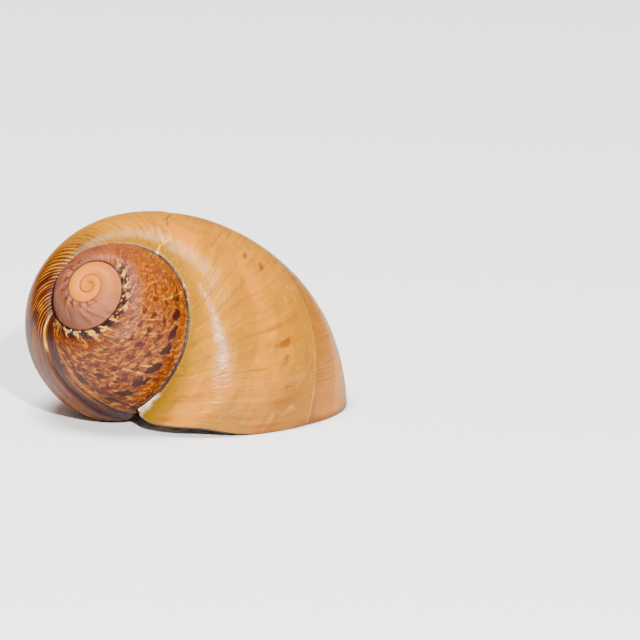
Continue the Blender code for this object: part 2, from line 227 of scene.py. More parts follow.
        pillar = self.pillar_radius(depth + level * down) + self.fillet(turn)
        swing = (-math.pi / 2 - angle) * self.base_arc / (math.pi / 2)
        inner = middle - (middle - pillar) * np.sin(swing) / math.sin(self.base_arc)
        under = (np.cos(swing) - math.cos(self.base_arc)) / (1 - math.cos(self.base_arc))
        inner_drop = down * (level + (1 - level) * under)

        radius = np.where(along > 0, upper, np.where(across > 0, lower, inner))
        sunk = np.where(along > 0, -rise, np.where(across > 0, drop, inner_drop))
        return radius, depth + sunk

    def level_on(self, turn: Array, depth: Array) -> tuple[Array, Array, Array]:
        """Finds where a depth lies on a section.

        Args:
            turn: The section's turn.
            depth: The depth under the apex.

        Returns:
            The share of the section's height, the power of its outline there, and how far above its centre
            the depth is.
        """
        above = self.centre_depth(turn) - depth
        tall = np.where(above > 0, self.above(turn), self.below(turn))
        power = np.where(above > 0, self.upper_power, self.lower_power)
        return np.clip(above / tall, -1, 1), power, above

    def outside_oval(self, turn: Array, radius: Array, depth: Array) -> Array:
        """Tells whether a point lies outside the upper or outer part of a section.

        Args:
            turn: The section's turn.
            radius: The point's distance from the axis.
            depth: The point's depth under the apex.

        Returns:
            More than 0 where it lies outside.
        """
        level, power, above = self.level_on(turn, depth)
        reach = np.maximum(1 - np.abs(level) ** power, 0) ** (1 / power)
        edge = self.centre_radius(turn) + reach * (self.half_width(turn) + self.top_lean * above)
        return np.where(np.abs(level) < 1, radius - edge, 1.0)

    def oval_angle(self, turn: Array, depth: Array) -> Array:
        """Finds the place on a section's outer side at a depth.

        Args:
            turn: The section's turn.
            depth: The depth under the apex.

        Returns:
            The angle, in radians.
        """
        level, power, _ = self.level_on(turn, depth)
        along = np.sign(level) * np.abs(level) ** (power / 2)
        return np.arctan2(along, np.sqrt(np.maximum(1 - along**2, 0)))

    def suture_angle(self, turn: Array, inset: Array = 0.0) -> Array:
        """Finds where a section meets the whorl a turn before.

        Args:
            turn: The section's turn.
            inset: How far the section is drawn in.

        Returns:
            The angle in radians, found by halving.
        """
        turn = np.asarray(turn, float)
        low, high = (np.full(turn.shape, math.radians(end)) for end in SUTURE_SEARCH)
        for _ in range(HALVINGS):
            middle = (low + high) / 2
            radius, depth = self.oval(turn, middle, inset)
            outside = self.outside_oval(turn - 1, radius, depth) > 0
            low, high = np.where(outside, middle, low), np.where(outside, high, middle)
        return (low + high) / 2


def place(turn: Array, radius: Array, depth: Array) -> Array:
    """Returns points with the axis up and the apex at the origin. The whorls run clockwise from above."""
    heading = -2 * math.pi * np.asarray(turn, float)
    return np.stack([radius * np.cos(heading), radius * np.sin(heading), -depth + 0 * heading], -1)


Spot = tuple[int, int]


@dataclass
class Surface:
    """One closed surface: its points, its faces and what each corner of a face knows of its place.

    A spot is a point's number with the number of a fact about it. A point on a suture belongs to two
    whorls, so it has a fact for each.
    """

    points: list[Array] = field(default_factory=list)
    facts: list[Array] = field(default_factory=list)
    faces: list[list[Spot]] = field(default_factory=list)
    owners: list[int] = field(default_factory=list)
    count: int = 0

    def add(
        self, points: Array, turn: Array, angle: Array, side: Side, below: Array = 0.0, over: Array = FAR
    ) -> list[Spot]:
        """Adds points.

        Args:
            points: Where they are.
            turn: The turn of each.
            angle: The angle of each, in radians.
            side: The side of the wall that they lie on.
            below: How far each lies under the suture above it.
            over: How far each lies over the suture below it.

        Returns:
            Their spots.
        """
        points = np.asarray(points, float).reshape(-1, 3)
        numbers = list(range(self.count, self.count + len(points)))
        self.points.append(points)
        self.count += len(points)
        return self.spots(numbers, turn, angle, side, below, over)

    def spots(
        self, numbers: list[int], turn: Array, angle: Array, side: Side, below: Array, over: Array
    ) -> list[Spot]:
        """Gives points a new fact each.

        Args:
            numbers: The points.
            turn: The turn of each.
            angle: The angle of each, in radians.
            side: The side of the wall that they lie on.
            below: How far each lies under the suture above it.
            over: How far each lies over the suture below it.

        Returns:
            Their spots.
        """
        values = (turn, angle, side.value, below, over)
        shape = (len(numbers),)
        self.facts.append(np.stack([np.broadcast_to(np.asarray(v, float), shape) for v in values], -1))
        first = len(self.owners)
        self.owners.extend(numbers)
        return list(zip(numbers, range(first, first + len(numbers))))

    def bridge(self, left: list[Spot], right: list[Spot]) -> None:
        """Makes faces between two columns with as many spots each. Shared points make triangles.

        Args:
            left: One column.
            right: The other.
        """
        for a, b, c, d in zip(left, left[1:], right[1:], right):
            corners = {spot[0]: spot for spot in (a, b, c, d)}
            if len(corners) > 2:
                self.faces.append(list(corners.values()))

    def fan(self, ring: list[Spot], tip: Spot) -> None:
        """Makes faces from a ring to a tip."""
        self.faces.extend([a, b, tip] for a, b in zip(ring, ring[1:]) if a[0] != b[0])


@dataclass
class ShellWall:
    """The wall of the shell: its outside, the rim of its mouth and the hollow inside.

    The outside is a strip from each suture to the next, and the last turn is a full section. The numbers
    of columns, cells and steps set how fine the surface is.
    """

    law: GrowthLaw = field(default_factory=GrowthLaw)
    first_turn: float = -4.5
    columns: int = 480
    strip_cells: int = 18
    rim_cells: int = 8
    base_cells: int = 46
    pillar_cells: int = 14
    strip_crowding: float = 1.2
    full_lean: float = 0.16
    lean_from: float = -3.4
    lip_thickness: float = 0.90
    lip_flare: float = 0.10
    lip_run: float = 0.021
    bead_start: float = 0.18
    bead_end: float = 0.06
    lip_crowding: float = 1.3
    hollow_crowding: float = 1.15
    parietal_bow: float = 0.006
    columella_bow: float = 0.02
    columella_dome: float = 0.5
    ahead: float = 0.01
    lip_steps: int = 8
    hollow_turns: float = 2.6
    hollow_steps: int = 84
    nucleus_dome: float = 0.22
    columella_end: tuple[tuple[float, float], ...] = ((0.97, 0.08), (0.86, 0.22), (0.66, 0.35), (0.36, 0.46))
    surface: Surface = field(default_factory=Surface)

    def __post_init__(self) -> None:
        """Works out the turns, the sutures' angles and the shares that the methods use."""
        law = self.law
        self.last = round(-self.first_turn * self.columns)
        self.front = self.last - self.columns + round(self.full_lean * self.columns)
        self.turns = self.first_turn + np.arange(self.last + 1) / self.columns
        self.tops = law.suture_angle(self.turns)
        self.strip_shares = (np.arange(1, self.strip_cells + 1) / self.strip_cells) ** self.strip_crowding
        self.lip_shares = np.linspace(0, 1, self.strip_cells + self.rim_cells + self.base_cells + 1)
        self.lag_end = float(law.lip_lag(1.0))
        self.inner_top = float(law.suture_angle(0.0, law.wall))
        self.meeting = float(law.oval_angle(-1.0, law.oval(0.0, self.inner_top, law.wall)[1]))
        sutures = place(self.turns, *law.oval(self.turns, self.tops))
        ends = law.oval(self.turns[self.columns :], self.tops[self.columns :])[1]
        self.lows = law.oval_angle(self.turns[: -self.columns], ends)
        self.low_turns = self.turns[: -self.columns]
        self.suture_points = sutures
        self.suture = [-1] * self.columns + list(range(self.last + 1 - self.columns))
        self.surface.points.append(sutures[self.columns :])
        self.surface.count = len(self.suture) - self.columns

    def build(self) -> Surface:
        """Returns the whole surface, with the axis up."""
        self.last_turn(self.strips(self.nucleus()))
        return self.surface

    def growth(self, turn: Array, angle: Array) -> Array:
        """Returns how many turns of growth a place is from the lip, along lines that run as the lip does."""
        top = np.interp(turn, self.turns, self.tops)
        return turn + self.law.lip_lag(np.clip((top - angle) / (top + math.pi), 0, 1))

    def lean(self, column: int) -> float:
        """Returns how many turns a column of a strip leans back, so that it runs as a growth line does."""
        return self.full_lean * float(ease(self.turns[column] - self.lean_from))

    def strip_places(self, column: int) -> tuple[Array, Array]:
        """Finds the places down a column, from the suture above to the one below.

        Args:
            column: The column.

        Returns:
            Their turns and their angles.
        """
        top = self.tops[column]
        low = np.interp(self.turns[column] - self.lean(column), self.low_turns, self.lows)
        lag = self.law.lip_lag(self.strip_shares * (top - low) / (top + math.pi))
        turns = self.turns[column] - self.lean(column) * lag / lag[-1]
        tops, lows = np.interp(turns, self.turns, self.tops), np.interp(turns, self.low_turns, self.lows)
        return turns, tops + (lows - tops) * self.strip_shares

    def column(
        self, turns: Array, angles: Array, top: int, low: int | None, inset: Array = 0.0
    ) -> list[Spot]:
        """Makes one column of the outside.

        Args:
            turns: The turn of each of its points.
            angles: The angle of each.
            top: The column whose suture point is its first.
            low: The column whose suture point is its last, or None where it has no suture below.
            inset: How far its points are drawn in.

        Returns:
            Its spots.
        """
        points = place(turns, *self.law.oval(turns, angles, inset))
        whole = [self.suture_points[top], *points]
        if low is not None:
            whole.append(self.suture_points[low])
        run = np.concatenate([[0.0], np.cumsum(np.linalg.norm(np.diff(whole, axis=0), axis=1))])
        turn, surface = self.turns[top], self.surface
        first = surface.spots([self.suture[top]], turn, self.tops[top], Side.OUTSIDE, 0.0, FAR)
        if low is None:
            return first + surface.add(points, turns, angles, Side.OUTSIDE, run[1:])
        inner = surface.add(points, turns, angles, Side.OUTSIDE, run[1:-1], run[-1] - run[1:-1])
        above, shared = low - self.columns, [self.suture[low]]
        end = surface.spots(shared, self.turns[above], self.lows[above], Side.OUTSIDE, run[-1], 0.0)
        return first + inner + end

    def strip(self, column: int) -> list[Spot]:
        """Makes the column between a suture and the one about a turn later.

        Args:
            column: The column.

        Returns:
            Its spots.
        """
        turns, angles = self.strip_places(column)
        low = column + self.columns - round(self.lean(column) * self.columns)
        return self.column(turns[:-1], angles[:-1], column, low)

    def nucleus(self) -> list[Spot]:
        """Makes the first turn, a strip that starts with no width on the edge of a small round cap.

        Returns:
            The column that the next turn goes on from.
        """
        surface, law, columns = self.surface, self.law, self.columns
        edge = np.array(law.oval(self.turns[columns], self.tops[columns]))
        low = np.array(law.oval(self.turns[2 * columns], self.tops[2 * columns]))
        shares = self.strip_shares[:-1]
        angles = self.tops[columns] + (self.lows[columns] - self.tops[columns]) * shares
        full = np.stack(law.oval(self.turns[columns], angles), -1)
        bulge = full - (edge + shares[:, None] * (low - edge))
        rows, away = [], NUCLEUS_AWAY
        for column in range(columns):
            turn = self.turns[column]
            end = np.array(law.oval(self.turns[column + columns], self.tops[column + columns]))
            if column:
                top = surface.add(place(turn, *edge), turn, angles[0], Side.OUTSIDE, away, away)
            else:
                top = surface.spots([self.suture[columns]], turn, angles[0], Side.OUTSIDE, away, away)
            length = np.linalg.norm(end - edge)
            curve = edge + shares[:, None] * (end - edge)
            curve = curve + bulge * min(length / np.linalg.norm(low - edge), 1.0)
            left = (1 - shares) * length
            inner = top * len(shares)
            if column:
                inner = surface.add(place(turn, *curve.T), turn, angles, Side.OUTSIDE, away, left)
            low_suture = [self.suture[column + columns]]
            last = surface.spots(low_suture, turn, self.lows[columns], Side.OUTSIDE, away, 0.0)
            rows.append([*top, *inner, *last])
        rows.append(self.strip(columns))
        for left, right in zip(rows, rows[1:]):
            surface.bridge(left, right)
        peak = [[0.0, 0.0, self.nucleus_dome * edge[0] - edge[1]]]
        tip = surface.add(peak, self.turns[0], angles[0], Side.OUTSIDE, away, away)[0]
        surface.fan([row[0] for row in rows], tip)
        return rows[-1]

    def strips(self, before: list[Spot]) -> list[Spot]:
        """Makes the whorls from the nucleus to a turn before the lip.

        Args:
            before: The column that they start from.

        Returns:
            Their last column.
        """
        for column in range(self.columns + 1, self.front + 1):
            here = self.strip(column)
            self.surface.bridge(before, here)
            before = here
        return before

    def section(self, column: int) -> tuple[Array, Array]:
        """Finds the places down a column of the last turn, from its suture to the columella.

        The first of these columns ends on the whorl inside the mouth, and the last one is the lip.

        Args:
            column: The column.

        Returns:
            Their turns and their angles.
        """
        share = (column - self.front) / (self.last - self.front)
        low, top = self.lows[-1], self.tops[column]
        turns, upper = self.strip_places(self.front)
        upper = upper + (top - self.tops[self.front]) * (1 - self.strip_shares)
        across = low + (self.meeting - low) * np.arange(1, self.rim_cells + 1) / self.rim_cells
        down = self.meeting + (-math.pi - self.meeting) * np.arange(1, self.base_cells + 1) / self.base_cells
        at_front = np.concatenate([upper, across, down])
        even = top + (-math.pi - top) * self.lip_shares[1:]
        angles = at_front + (even - at_front) * ease(share)

        lean = np.full(len(angles), self.full_lean)
        lean[: self.strip_cells] = self.turns[self.front] - turns
        lean += self.lag_end * np.clip((self.meeting - at_front) / (self.meeting + math.pi), 0, 1)
        lip = self.law.lip_lag((top - angles) / (top + math.pi))
        return self.turns[column] - (lean + (lip - lean) * share), angles

    def rim_weight(self, share: Array) -> Array:
        """Returns the weight of the lip's bead, which fades where it meets the whorl and the columella."""
        return ease(share / self.bead_start) * ease((1 - share) / self.bead_end)

    def flare(self, back: float) -> Array:
        """Returns how far the wall turns outward round the mouth, back turns behind the lip."""
        return self.lip_flare * self.rim_weight(self.lip_shares) * max(1 - back / self.lip_run, 0) ** 2

    def pillar_points(self, turn: float, top_turn: float, top: float, low: float, depths: Array) -> Array:
        """Finds points down the columella.

        Args:
            turn: The turn that gives their heading.
            top_turn: The turn of the whorl that meets the columella above them.
            top: How deep it meets it.
            low: How deep the whorl a turn later meets it.
            depths: The points' depths.

        Returns:
            The points.
        """
        law, low_turn = self.law, min(top_turn + 1, -self.lag_end)
        upper = 1 - (depths - top) / (law.fillet_length * law.half_width(top_turn))
        lower = 1 - (low - depths) / (law.fillet_length * law.half_width(low_turn))
        extra = law.fillet(top_turn) * np.clip(upper, 0, 1) ** 2
        extra = extra + law.fillet(low_turn) * np.clip(lower, 0, 1) ** 2
        return place(turn, law.pillar_radius(depths) + extra, depths)

    def last_turn(self, front_strip: list[Spot]) -> None:
        """Makes the last turn, the columella's end, the rim and the hollow.

        Args:
            front_strip: The last column of the strips.
        """
        surface, law, lip_turn = self.surface, self.law, -self.lag_end
        radius, lip_depth = (float(v) for v in law.oval(lip_turn, -math.pi))
        corner = surface.add(place(lip_turn, radius, lip_depth), lip_turn, -math.pi, Side.MOUTH_EDGE)[0]
        inner_place = law.oval(lip_turn, -math.pi, law.wall_at(lip_turn), law.inner_level)
        inner_depth = float(inner_place[1])
        inner_corner = surface.add(place(lip_turn, *inner_place), lip_turn, -math.pi, Side.INSIDE)[0]

        bow = np.sin(np.pi * np.arange(1, self.rim_cells) / self.rim_cells)
        turns, angles = (values[self.strip_cells :] for values in self.section(self.front))
        turns[: self.rim_cells - 1] += self.parietal_bow * bow
        edge = surface.add(place(turns, *law.oval(turns, angles)), turns, angles, Side.MOUTH_EDGE)
        rim_start, parietal = [front_strip[-1], *edge[: self.rim_cells]], edge[self.rim_cells - 1 :]

        top_depth = float(law.oval(lip_turn - 1, -math.pi)[1])
        depths = np.linspace(top_depth, inner_depth, self.pillar_cells + 1)[1:-1]
        points = self.pillar_points(lip_turn, lip_turn - 1, top_depth, inner_depth, depths)
        pillar = surface.add(points, lip_turn, -math.pi, Side.INSIDE)
        depths = np.linspace(inner_depth, lip_depth, self.rim_cells + 1)[1:-1]
        points = place(lip_turn + self.columella_bow * bow, law.pillar_radius(depths), depths)
        rim_end = [inner_corner, *surface.add(points, lip_turn, -math.pi, Side.MOUTH_EDGE), corner]

        pillar_rows = self.pillar_cells + self.rim_cells
        sections, feet = [[*front_strip, *edge]], [[*pillar, *rim_end]]
        for column in range(self.front + 1, self.last + 1):
            turns, angles = self.section(column)
            section = self.column(turns, angles, column, None, -self.flare(-self.turns[column])[1:])
            end = float(law.oval(turns[-1], -math.pi)[1])
            depths = np.linspace(end, lip_depth, pillar_rows + 1)[1:]
            points = self.pillar_points(turns[-1], turns[-1], end, lip_depth, depths)
            sections.append(section)
            feet.append(surface.add(points, turns[-1], -math.pi, Side.MOUTH_EDGE))
        sections[-1][-1], feet[-1] = corner, [corner] * pillar_rows

        sweep = np.arange(self.last - self.front) / (self.last - self.front)
        rings = [self.pillar_ring(radius, lip_depth, float(share) - 1 - self.lag_end) for share in sweep]
        columns = [[*s, *f, *r] for s, f, r in zip(sections, feet, [*rings, rings[0]])]
        tip = [[0.0, 0.0, -lip_depth - self.columella_dome * radius]]
        foot = surface.add(tip, lip_turn, -math.pi, Side.MOUTH_EDGE)[0]
        for left, right in zip(columns, columns[1:]):
            surface.bridge(left, right)
        surface.fan([column[-1] for column in reversed(columns)], foot)
        self.rim_and_hollow(sections[-1], rim_start, rim_end, parietal, pillar)

    def pillar_ring(self, radius: float, depth: float, turn: float) -> list[Spot]:
        """Makes one column's points on the columella's round end.

        Args:
            radius: The columella's radius.
            depth: How deep its end starts.
            turn: The turn that gives the column's heading.

        Returns:
            Their spots.
        """
        across, along = np.array(self.columella_end).T
        points = place(turn, across * radius, depth + along * radius)
        return self.surface.add(points, turn, -math.pi, Side.MOUTH_EDGE)

    def inner_wall(self, inset: Array, inner_top: float, back: float) -> tuple[Array, Array, Array]:
        """Finds the wall's inside some way behind the lip.

        Args:
            inset: How far the inside is drawn in.
            inner_top: The angle at which it starts.
            back: How many turns behind the lip it is.

        Returns:
            Its points, their turns and their angles.
        """
        angles = inner_top + (-math.pi - inner_top) * self.lip_shares
        turns = -back - self.law.lip_lag(self.lip_shares)
        return place(turns, *self.law.oval(turns, angles, inset, self.law.inner_level)), turns, angles

    def rim_and_hollow(
        self, outer: list[Spot], start: list[Spot], end: list[Spot], parietal: list[Spot], pillar: list[Spot]
    ) -> None:
        """Makes the round rim of the mouth, and the hollow behind it.

        Args:
            outer: The lip's outer edge.
            start: The rim's end on the whorl before.
            end: The rim's end on the columella.
            parietal: The mouth's edge on the whorl before.
            pillar: The mouth's edge on the columella.
        """
        surface, law = self.surface, self.law
        known = np.concatenate(surface.points)
        thick = law.wall + (self.lip_thickness - law.wall) * self.rim_weight(self.lip_shares)
        inner, turns, angles = self.inner_wall(thick - self.flare(0.0), self.inner_top, 0.0)
        ahead = self.inner_wall(thick - self.flare(0.0), self.inner_top, -self.ahead)[0] - inner
        ahead = ahead / np.linalg.norm(ahead, axis=1)[:, None]
        outside = known[[spot[0] for spot in outer]]
        inner[0], inner[-1] = known[start[-1][0]], known[end[0][0]]
        middle, half = (outside + inner) / 2, (outside - inner) / 2
        bead = np.linalg.norm(half, axis=1)[:, None]
        kept = slice(1, -1)
        previous = outer
        for step in range(1, self.rim_cells):
            swing = math.pi * step / self.rim_cells
            ring = middle + half * math.cos(swing) + ahead * bead * math.sin(swing)
            here = surface.add(ring[kept], turns[kept], angles[kept], Side.MOUTH_EDGE)
            here = [start[step], *here, end[self.rim_cells - step]]
            surface.bridge(previous, here)
            previous = here
        inner_edge = surface.add(inner[kept], turns[kept], angles[kept], Side.INSIDE)
        inner_edge = [start[-1], *inner_edge, end[0]]
        surface.bridge(previous, inner_edge)

        ring = [*inner_edge, *reversed(pillar), *reversed(parietal)]
        near = self.lip_run * (np.arange(1, self.lip_steps + 1) / self.lip_steps) ** self.lip_crowding
        far = (np.arange(1, self.hollow_steps + 1) / self.hollow_steps) ** self.hollow_crowding
        for back in (*near, *(self.lip_run + (self.hollow_turns - self.lip_run) * far)):
            here = self.hollow_ring(float(back))
            surface.bridge(ring, here)
            ring = here
        deepest = np.mean(np.concatenate(surface.points)[[spot[0] for spot in ring[:-1]]], axis=0)
        surface.fan(ring, surface.add(deepest, -self.hollow_turns, 0.0, Side.INSIDE)[0])

    def hollow_ring(self, back: float) -> list[Spot]:
        """Makes a closed ring of the hollow.

        Args:
            back: How many turns behind the lip it is.

        Returns:
            Its spots, with the first one again at the end.
        """
        law = self.law
        weight = self.rim_weight(self.lip_shares) * max(1 - back / self.lip_run, 0) ** 2
        inset = law.wall_at(-back - law.lip_lag(self.lip_shares)) + (self.lip_thickness - law.wall) * weight
        inner_top = float(law.suture_angle(-back, law.wall_at(-back)))
        inset = inset - self.flare(back)
        inset[0] = law.wall_at(-back)
        wall, turns, angles = self.inner_wall(inset, inner_top, back)
        meeting = float(law.oval_angle(-1 - back, law.oval(-back, inner_top, law.wall_at(-back))[1]))
        end = -back - self.lag_end
        low, high = -wall[-1][2], float(law.oval(end - 1, -math.pi)[1])
        depths = np.linspace(low, high, self.pillar_cells + 1)[1:-1]
        pillar = self.pillar_points(end, end - 1, high, low, depths)
        shares = np.arange(self.base_cells, 0, -1) / self.base_cells
        behind = -1 - back - self.lag_end * shares
        lower = meeting + (-math.pi - meeting) * shares
        points = np.concatenate([wall, pillar, place(behind, *law.oval(behind, lower))])
        turns = np.concatenate([turns, np.full(len(pillar), end), behind])
        angles = np.concatenate([angles, np.full(len(pillar), -math.pi), lower])
        ring = self.surface.add(points, turns, angles, Side.INSIDE)
        return [*ring, ring[0]]


@dataclass(frozen=True)
class Grain:
    """Smooth noise between -1 and 1 on a plane, always the same for the same seed."""

    seed: int
    size: int = 64

    def at(self, across: Array, along: Array) -> Array:
        """Finds the noise at places of the plane, where one unit is the width of one bump.

        Args:
            across: The places, one way.
            along: The places, the other way.

        Returns:
            The noise.
        """
        table = np.random.default_rng(self.seed).uniform(-1, 1, (self.size, self.size))
        across, along = np.broadcast_arrays(np.asarray(across, float), np.asarray(along, float))
        column, row = np.floor(across).astype(int), np.floor(along).astype(int)
        right, down = ease(across - column), ease(along - row)
        corners = [table[(column + i) % self.size, (row + j) % self.size] for i in (0, 1) for j in (0, 1)]
        near = corners[0] + (corners[1] - corners[0]) * down
        far = corners[2] + (corners[3] - corners[2]) * down
        return near + (far - near) * right


@dataclass(frozen=True)
class Facts:
    """What each point knows of its place: turn, angle in degrees, growth, side, and how far sutures are."""

    turn: Array
    angle: Array
    growth: Array
    side: Array
    below: Array
    over: Array

    def grain(self, seed: int, turns: float, degrees: float) -> Array:
        """Returns noise whose bumps are so many turns of growth by so many degrees."""
        return Grain(seed).at(self.growth / turns, self.angle / degrees)


def window(value: Array, start: float, end: float, soft: float) -> Array:
    """Returns 1 between the start and the end and 0 outside, with soft edges of a given width."""
    return ease((value - start) / soft + 0.5) * ease((end - value) / soft + 0.5)


def hump(value: Array, width: float) -> Array:
    """Returns 1 at zero, falling to 0 at about the width on either side."""
    return np.exp(-((value / width) ** 2) * 2)


@dataclass(frozen=True)
class Scar:
    """A small pit: the growth and the angle where it is, and how many turns and degrees it reaches."""

    growth: float
    angle: float
    turns: float
    degrees: float


@dataclass(frozen=True)
class Relief:
    """The low relief of the outside, in millimetres: pleats, growth lines, pauses and scars.

    A point's growth is in turns, 0 at the lip and negative before it, and its angle is in degrees.
    """

    pleat_every: float = 0.0116
    pleat_height: float = 0.10
    pleat_slant: float = 0.00012
    ridge_every: float = 0.0071
    ridge_height: float = 0.022
    wrinkle_height: float = 0.05
    dimple_height: float = 0.021
    pause_growth: float = -0.772
    pause_depth: float = 0.16
    pause_rise: float = 0.12
    break_growth: float = -0.335
    break_depth: float = 0.16
    break_edge: float = 0.07
    scar_depth: float = 0.09
    scars: tuple[Scar, ...] = (
        Scar(-0.090, 25.5, 0.007, 4.0),
        Scar(-0.072, 24.5, 0.006, 2.4),
        Scar(-0.044, 22.5, 0.004, 1.8),
        Scar(-0.026, 38.5, 0.003, 1.4),
        Scar(-0.181, 28.0, 0.006, 3.0),
        Scar(-0.205, 35.0, 0.004, 2.6),
        Scar(-0.345, 73.0, 0.003, 1.6),
    )

    def break_line(self, angle: Array) -> Array:
        """Returns the growth at which the old break runs, at each angle. It is jagged."""
        jag = Grain(3).at(angle / 5.0, 0.3) * 0.006 + Grain(4).at(angle / 1.7, 0.7) * 0.002
        return self.break_growth - 0.030 * ease((angle - 72) / 22) + 0.012 * ease((60 - angle) / 30) + jag

    def pleats(self, at: Facts) -> Array:
        """Finds the height of the pleats that start at the suture.

        Args:
            at: The points' facts.

        Returns:
            The height.
        """
        wander = at.grain(5, 0.05, 30) * 0.35 + at.grain(6, 0.017, 18) * 0.16
        phase = (at.growth + self.pleat_slant * (at.angle - 60)) / self.pleat_every + wander
        crest = 0.5 + 0.5 * np.cos(2 * math.pi * phase)
        strength = 0.62 + 0.38 * at.grain(7, 0.02, 16)
        strong = window(at.growth, -1.02, -0.40, 0.10) * ease((at.angle - 42) / 32)
        weak = 0.30 * window(at.growth, -0.46, -0.34, 0.08) * ease((at.angle - 50) / 30)
        early = 0.16 * window(at.growth, -1.75, -0.98, 0.2) * ease((at.angle - 30) / 50)
        return self.pleat_height * crest**1.3 * strength * (strong + weak + early)

    def ridges(self, at: Facts) -> Array:
        """Finds the height of the fine ridges of the last half whorl.

        Args:
            at: The points' facts.

        Returns:
            The height.
        """
        phase = at.growth / self.ridge_every + at.grain(8, 0.03, 20) * 0.5
        crest = 0.5 + 0.5 * np.cos(2 * math.pi * phase)
        strength = 0.6 + 0.4 * at.grain(9, 0.014, 12)
        reach = window(at.growth, -0.36, 0.1, 0.05) * ease((at.angle - 28) / 45)
        return self.ridge_height * crest * strength * reach

    def wrinkles(self, at: Facts) -> Array:
        """Finds the height of the broader growth lines, which are there all over but near the apex.

        Args:
            at: The points' facts.

        Returns:
            The height.
        """
        old = ease((at.growth + 2.1) / 0.4)
        size = np.exp(0.45 * np.minimum(at.growth, 0))
        broad = at.grain(10, 0.045, 70) * 0.6 + at.grain(11, 0.017, 45) * 0.4
        dimples = at.grain(12, 0.03, 9) + 0.5 * at.grain(13, 0.013, 5)
        late = 0.35 + 0.65 * window(at.growth, -0.33, 0.2, 0.1)
        return size * old * (self.wrinkle_height * broad + self.dimple_height * dimples * late)

    def pauses(self, at: Facts) -> Array:
        """Finds the height of the two growth pauses: a groove with a raised start, and a jagged break.

        Args:
            at: The points' facts.

        Returns:
            The height.
        """
        past = at.growth - self.pause_growth - 0.004 * Grain(14).at(at.angle / 14, 0.2)
        raised = window(past, 0.002, 0.5, 0.006) * self.pause_rise * np.exp(-np.maximum(past, 0) / 0.05)
        pause = raised - self.pause_depth * hump(past, 0.006)
        fade = 0.35 + 0.65 * ease((at.angle + 40) / 50)
        past = at.growth - self.break_line(at.angle)
        after = -self.break_depth * ease(past / 0.003 + 0.5) * np.exp(-np.maximum(past, 0) / 0.022)
        edge = self.break_edge * hump(past + 0.006, 0.008)
        return pause * fade + (after + edge) * (0.45 + 0.55 * ease((at.angle - 20) / 40))

    def marks(self, at: Facts) -> Array:
        """Finds the depth of the scars.

        Args:
            at: The points' facts.

        Returns:
            The depth, as a share of the deepest.
        """
        total = 0.0 * at.growth
        rough = at.grain(15, 0.004, 2.2)
        for scar in self.scars:
            away = np.hypot((at.growth - scar.growth) / scar.turns, (at.angle - scar.angle) / scar.degrees)
            total += ease(1.3 - away - 0.4 * rough) * (0.6 + 0.4 * rough)
        return total

    def tints(self, at: Facts) -> dict[str, Array]:
        """Finds what the finish reads of the relief.

        Args:
            at: The points' facts.

        Returns:
            The pleats' crests from 0 to 1, which the finish turns into painted shade and painted highlight,
            the scars from 0 to 1, and how many turns past the break a point is.
        """
        return {
            "crest": self.pleats(at) / self.pleat_height,
            "past": at.growth - self.break_line(at.angle),
            "scar": self.marks(at),
        }

    def height(self, at: Facts) -> Array:
        """Finds the whole relief, which fades at the sutures and the lip.

        Args:
            at: The points' facts.

        Returns:
            The height.
        """
        seam = (0.25 + 0.75 * ease(at.below / 0.9)) * ease(0.15 + at.over / 0.8)
        total = self.pleats(at) + self.ridges(at) + self.wrinkles(at) + self.pauses(at)
        total -= self.scar_depth * self.marks(at)
        return total * seam * ease(-at.growth / 0.006) * (at.side == Side.OUTSIDE.value)


Colour = tuple[float, float, float]
Socket = bpy.types.NodeSocket
Value = Socket | float


@dataclass(frozen=True)
class Screen:
    """How a screen shows light: bright light looks paler than it is, which colours have to make up for.

    Light is how bright the lamps make white. A colour is brightened by so much, by a power that bends it
    and with an evenness among its three parts. Its weak parts are paled by a share, down to the least.
    """

    light: float = 3.7
    brightening: float = 3.3
    bend: float = 4.3
    evenness: float = 1.3
    paling: float = 0.45
    least: float = 0.004

    def paint(self, colour: Colour) -> tuple[float, float, float, float]:
        """Finds the colour that the shell needs so as to be seen in another.

        Args:
            colour: The red, green and blue that are to be seen, 0 to 255.

        Returns:
            A shader's colour.
        """
        linear = [((value / 255 + 0.055) / 1.055) ** 2.4 for value in colour]
        most = max(linear)
        gain = 1 + self.brightening * most**self.bend
        needed = []
        for value in linear:
            share = value / most
            pale = self.paling * max(most - 0.5, 0) * (1 - share) * (share < 0.4)
            needed.append(max(value * gain ** (share**self.evenness) - pale, self.least) / self.light)
        return (*needed, 1.0)


SCREEN = Screen()


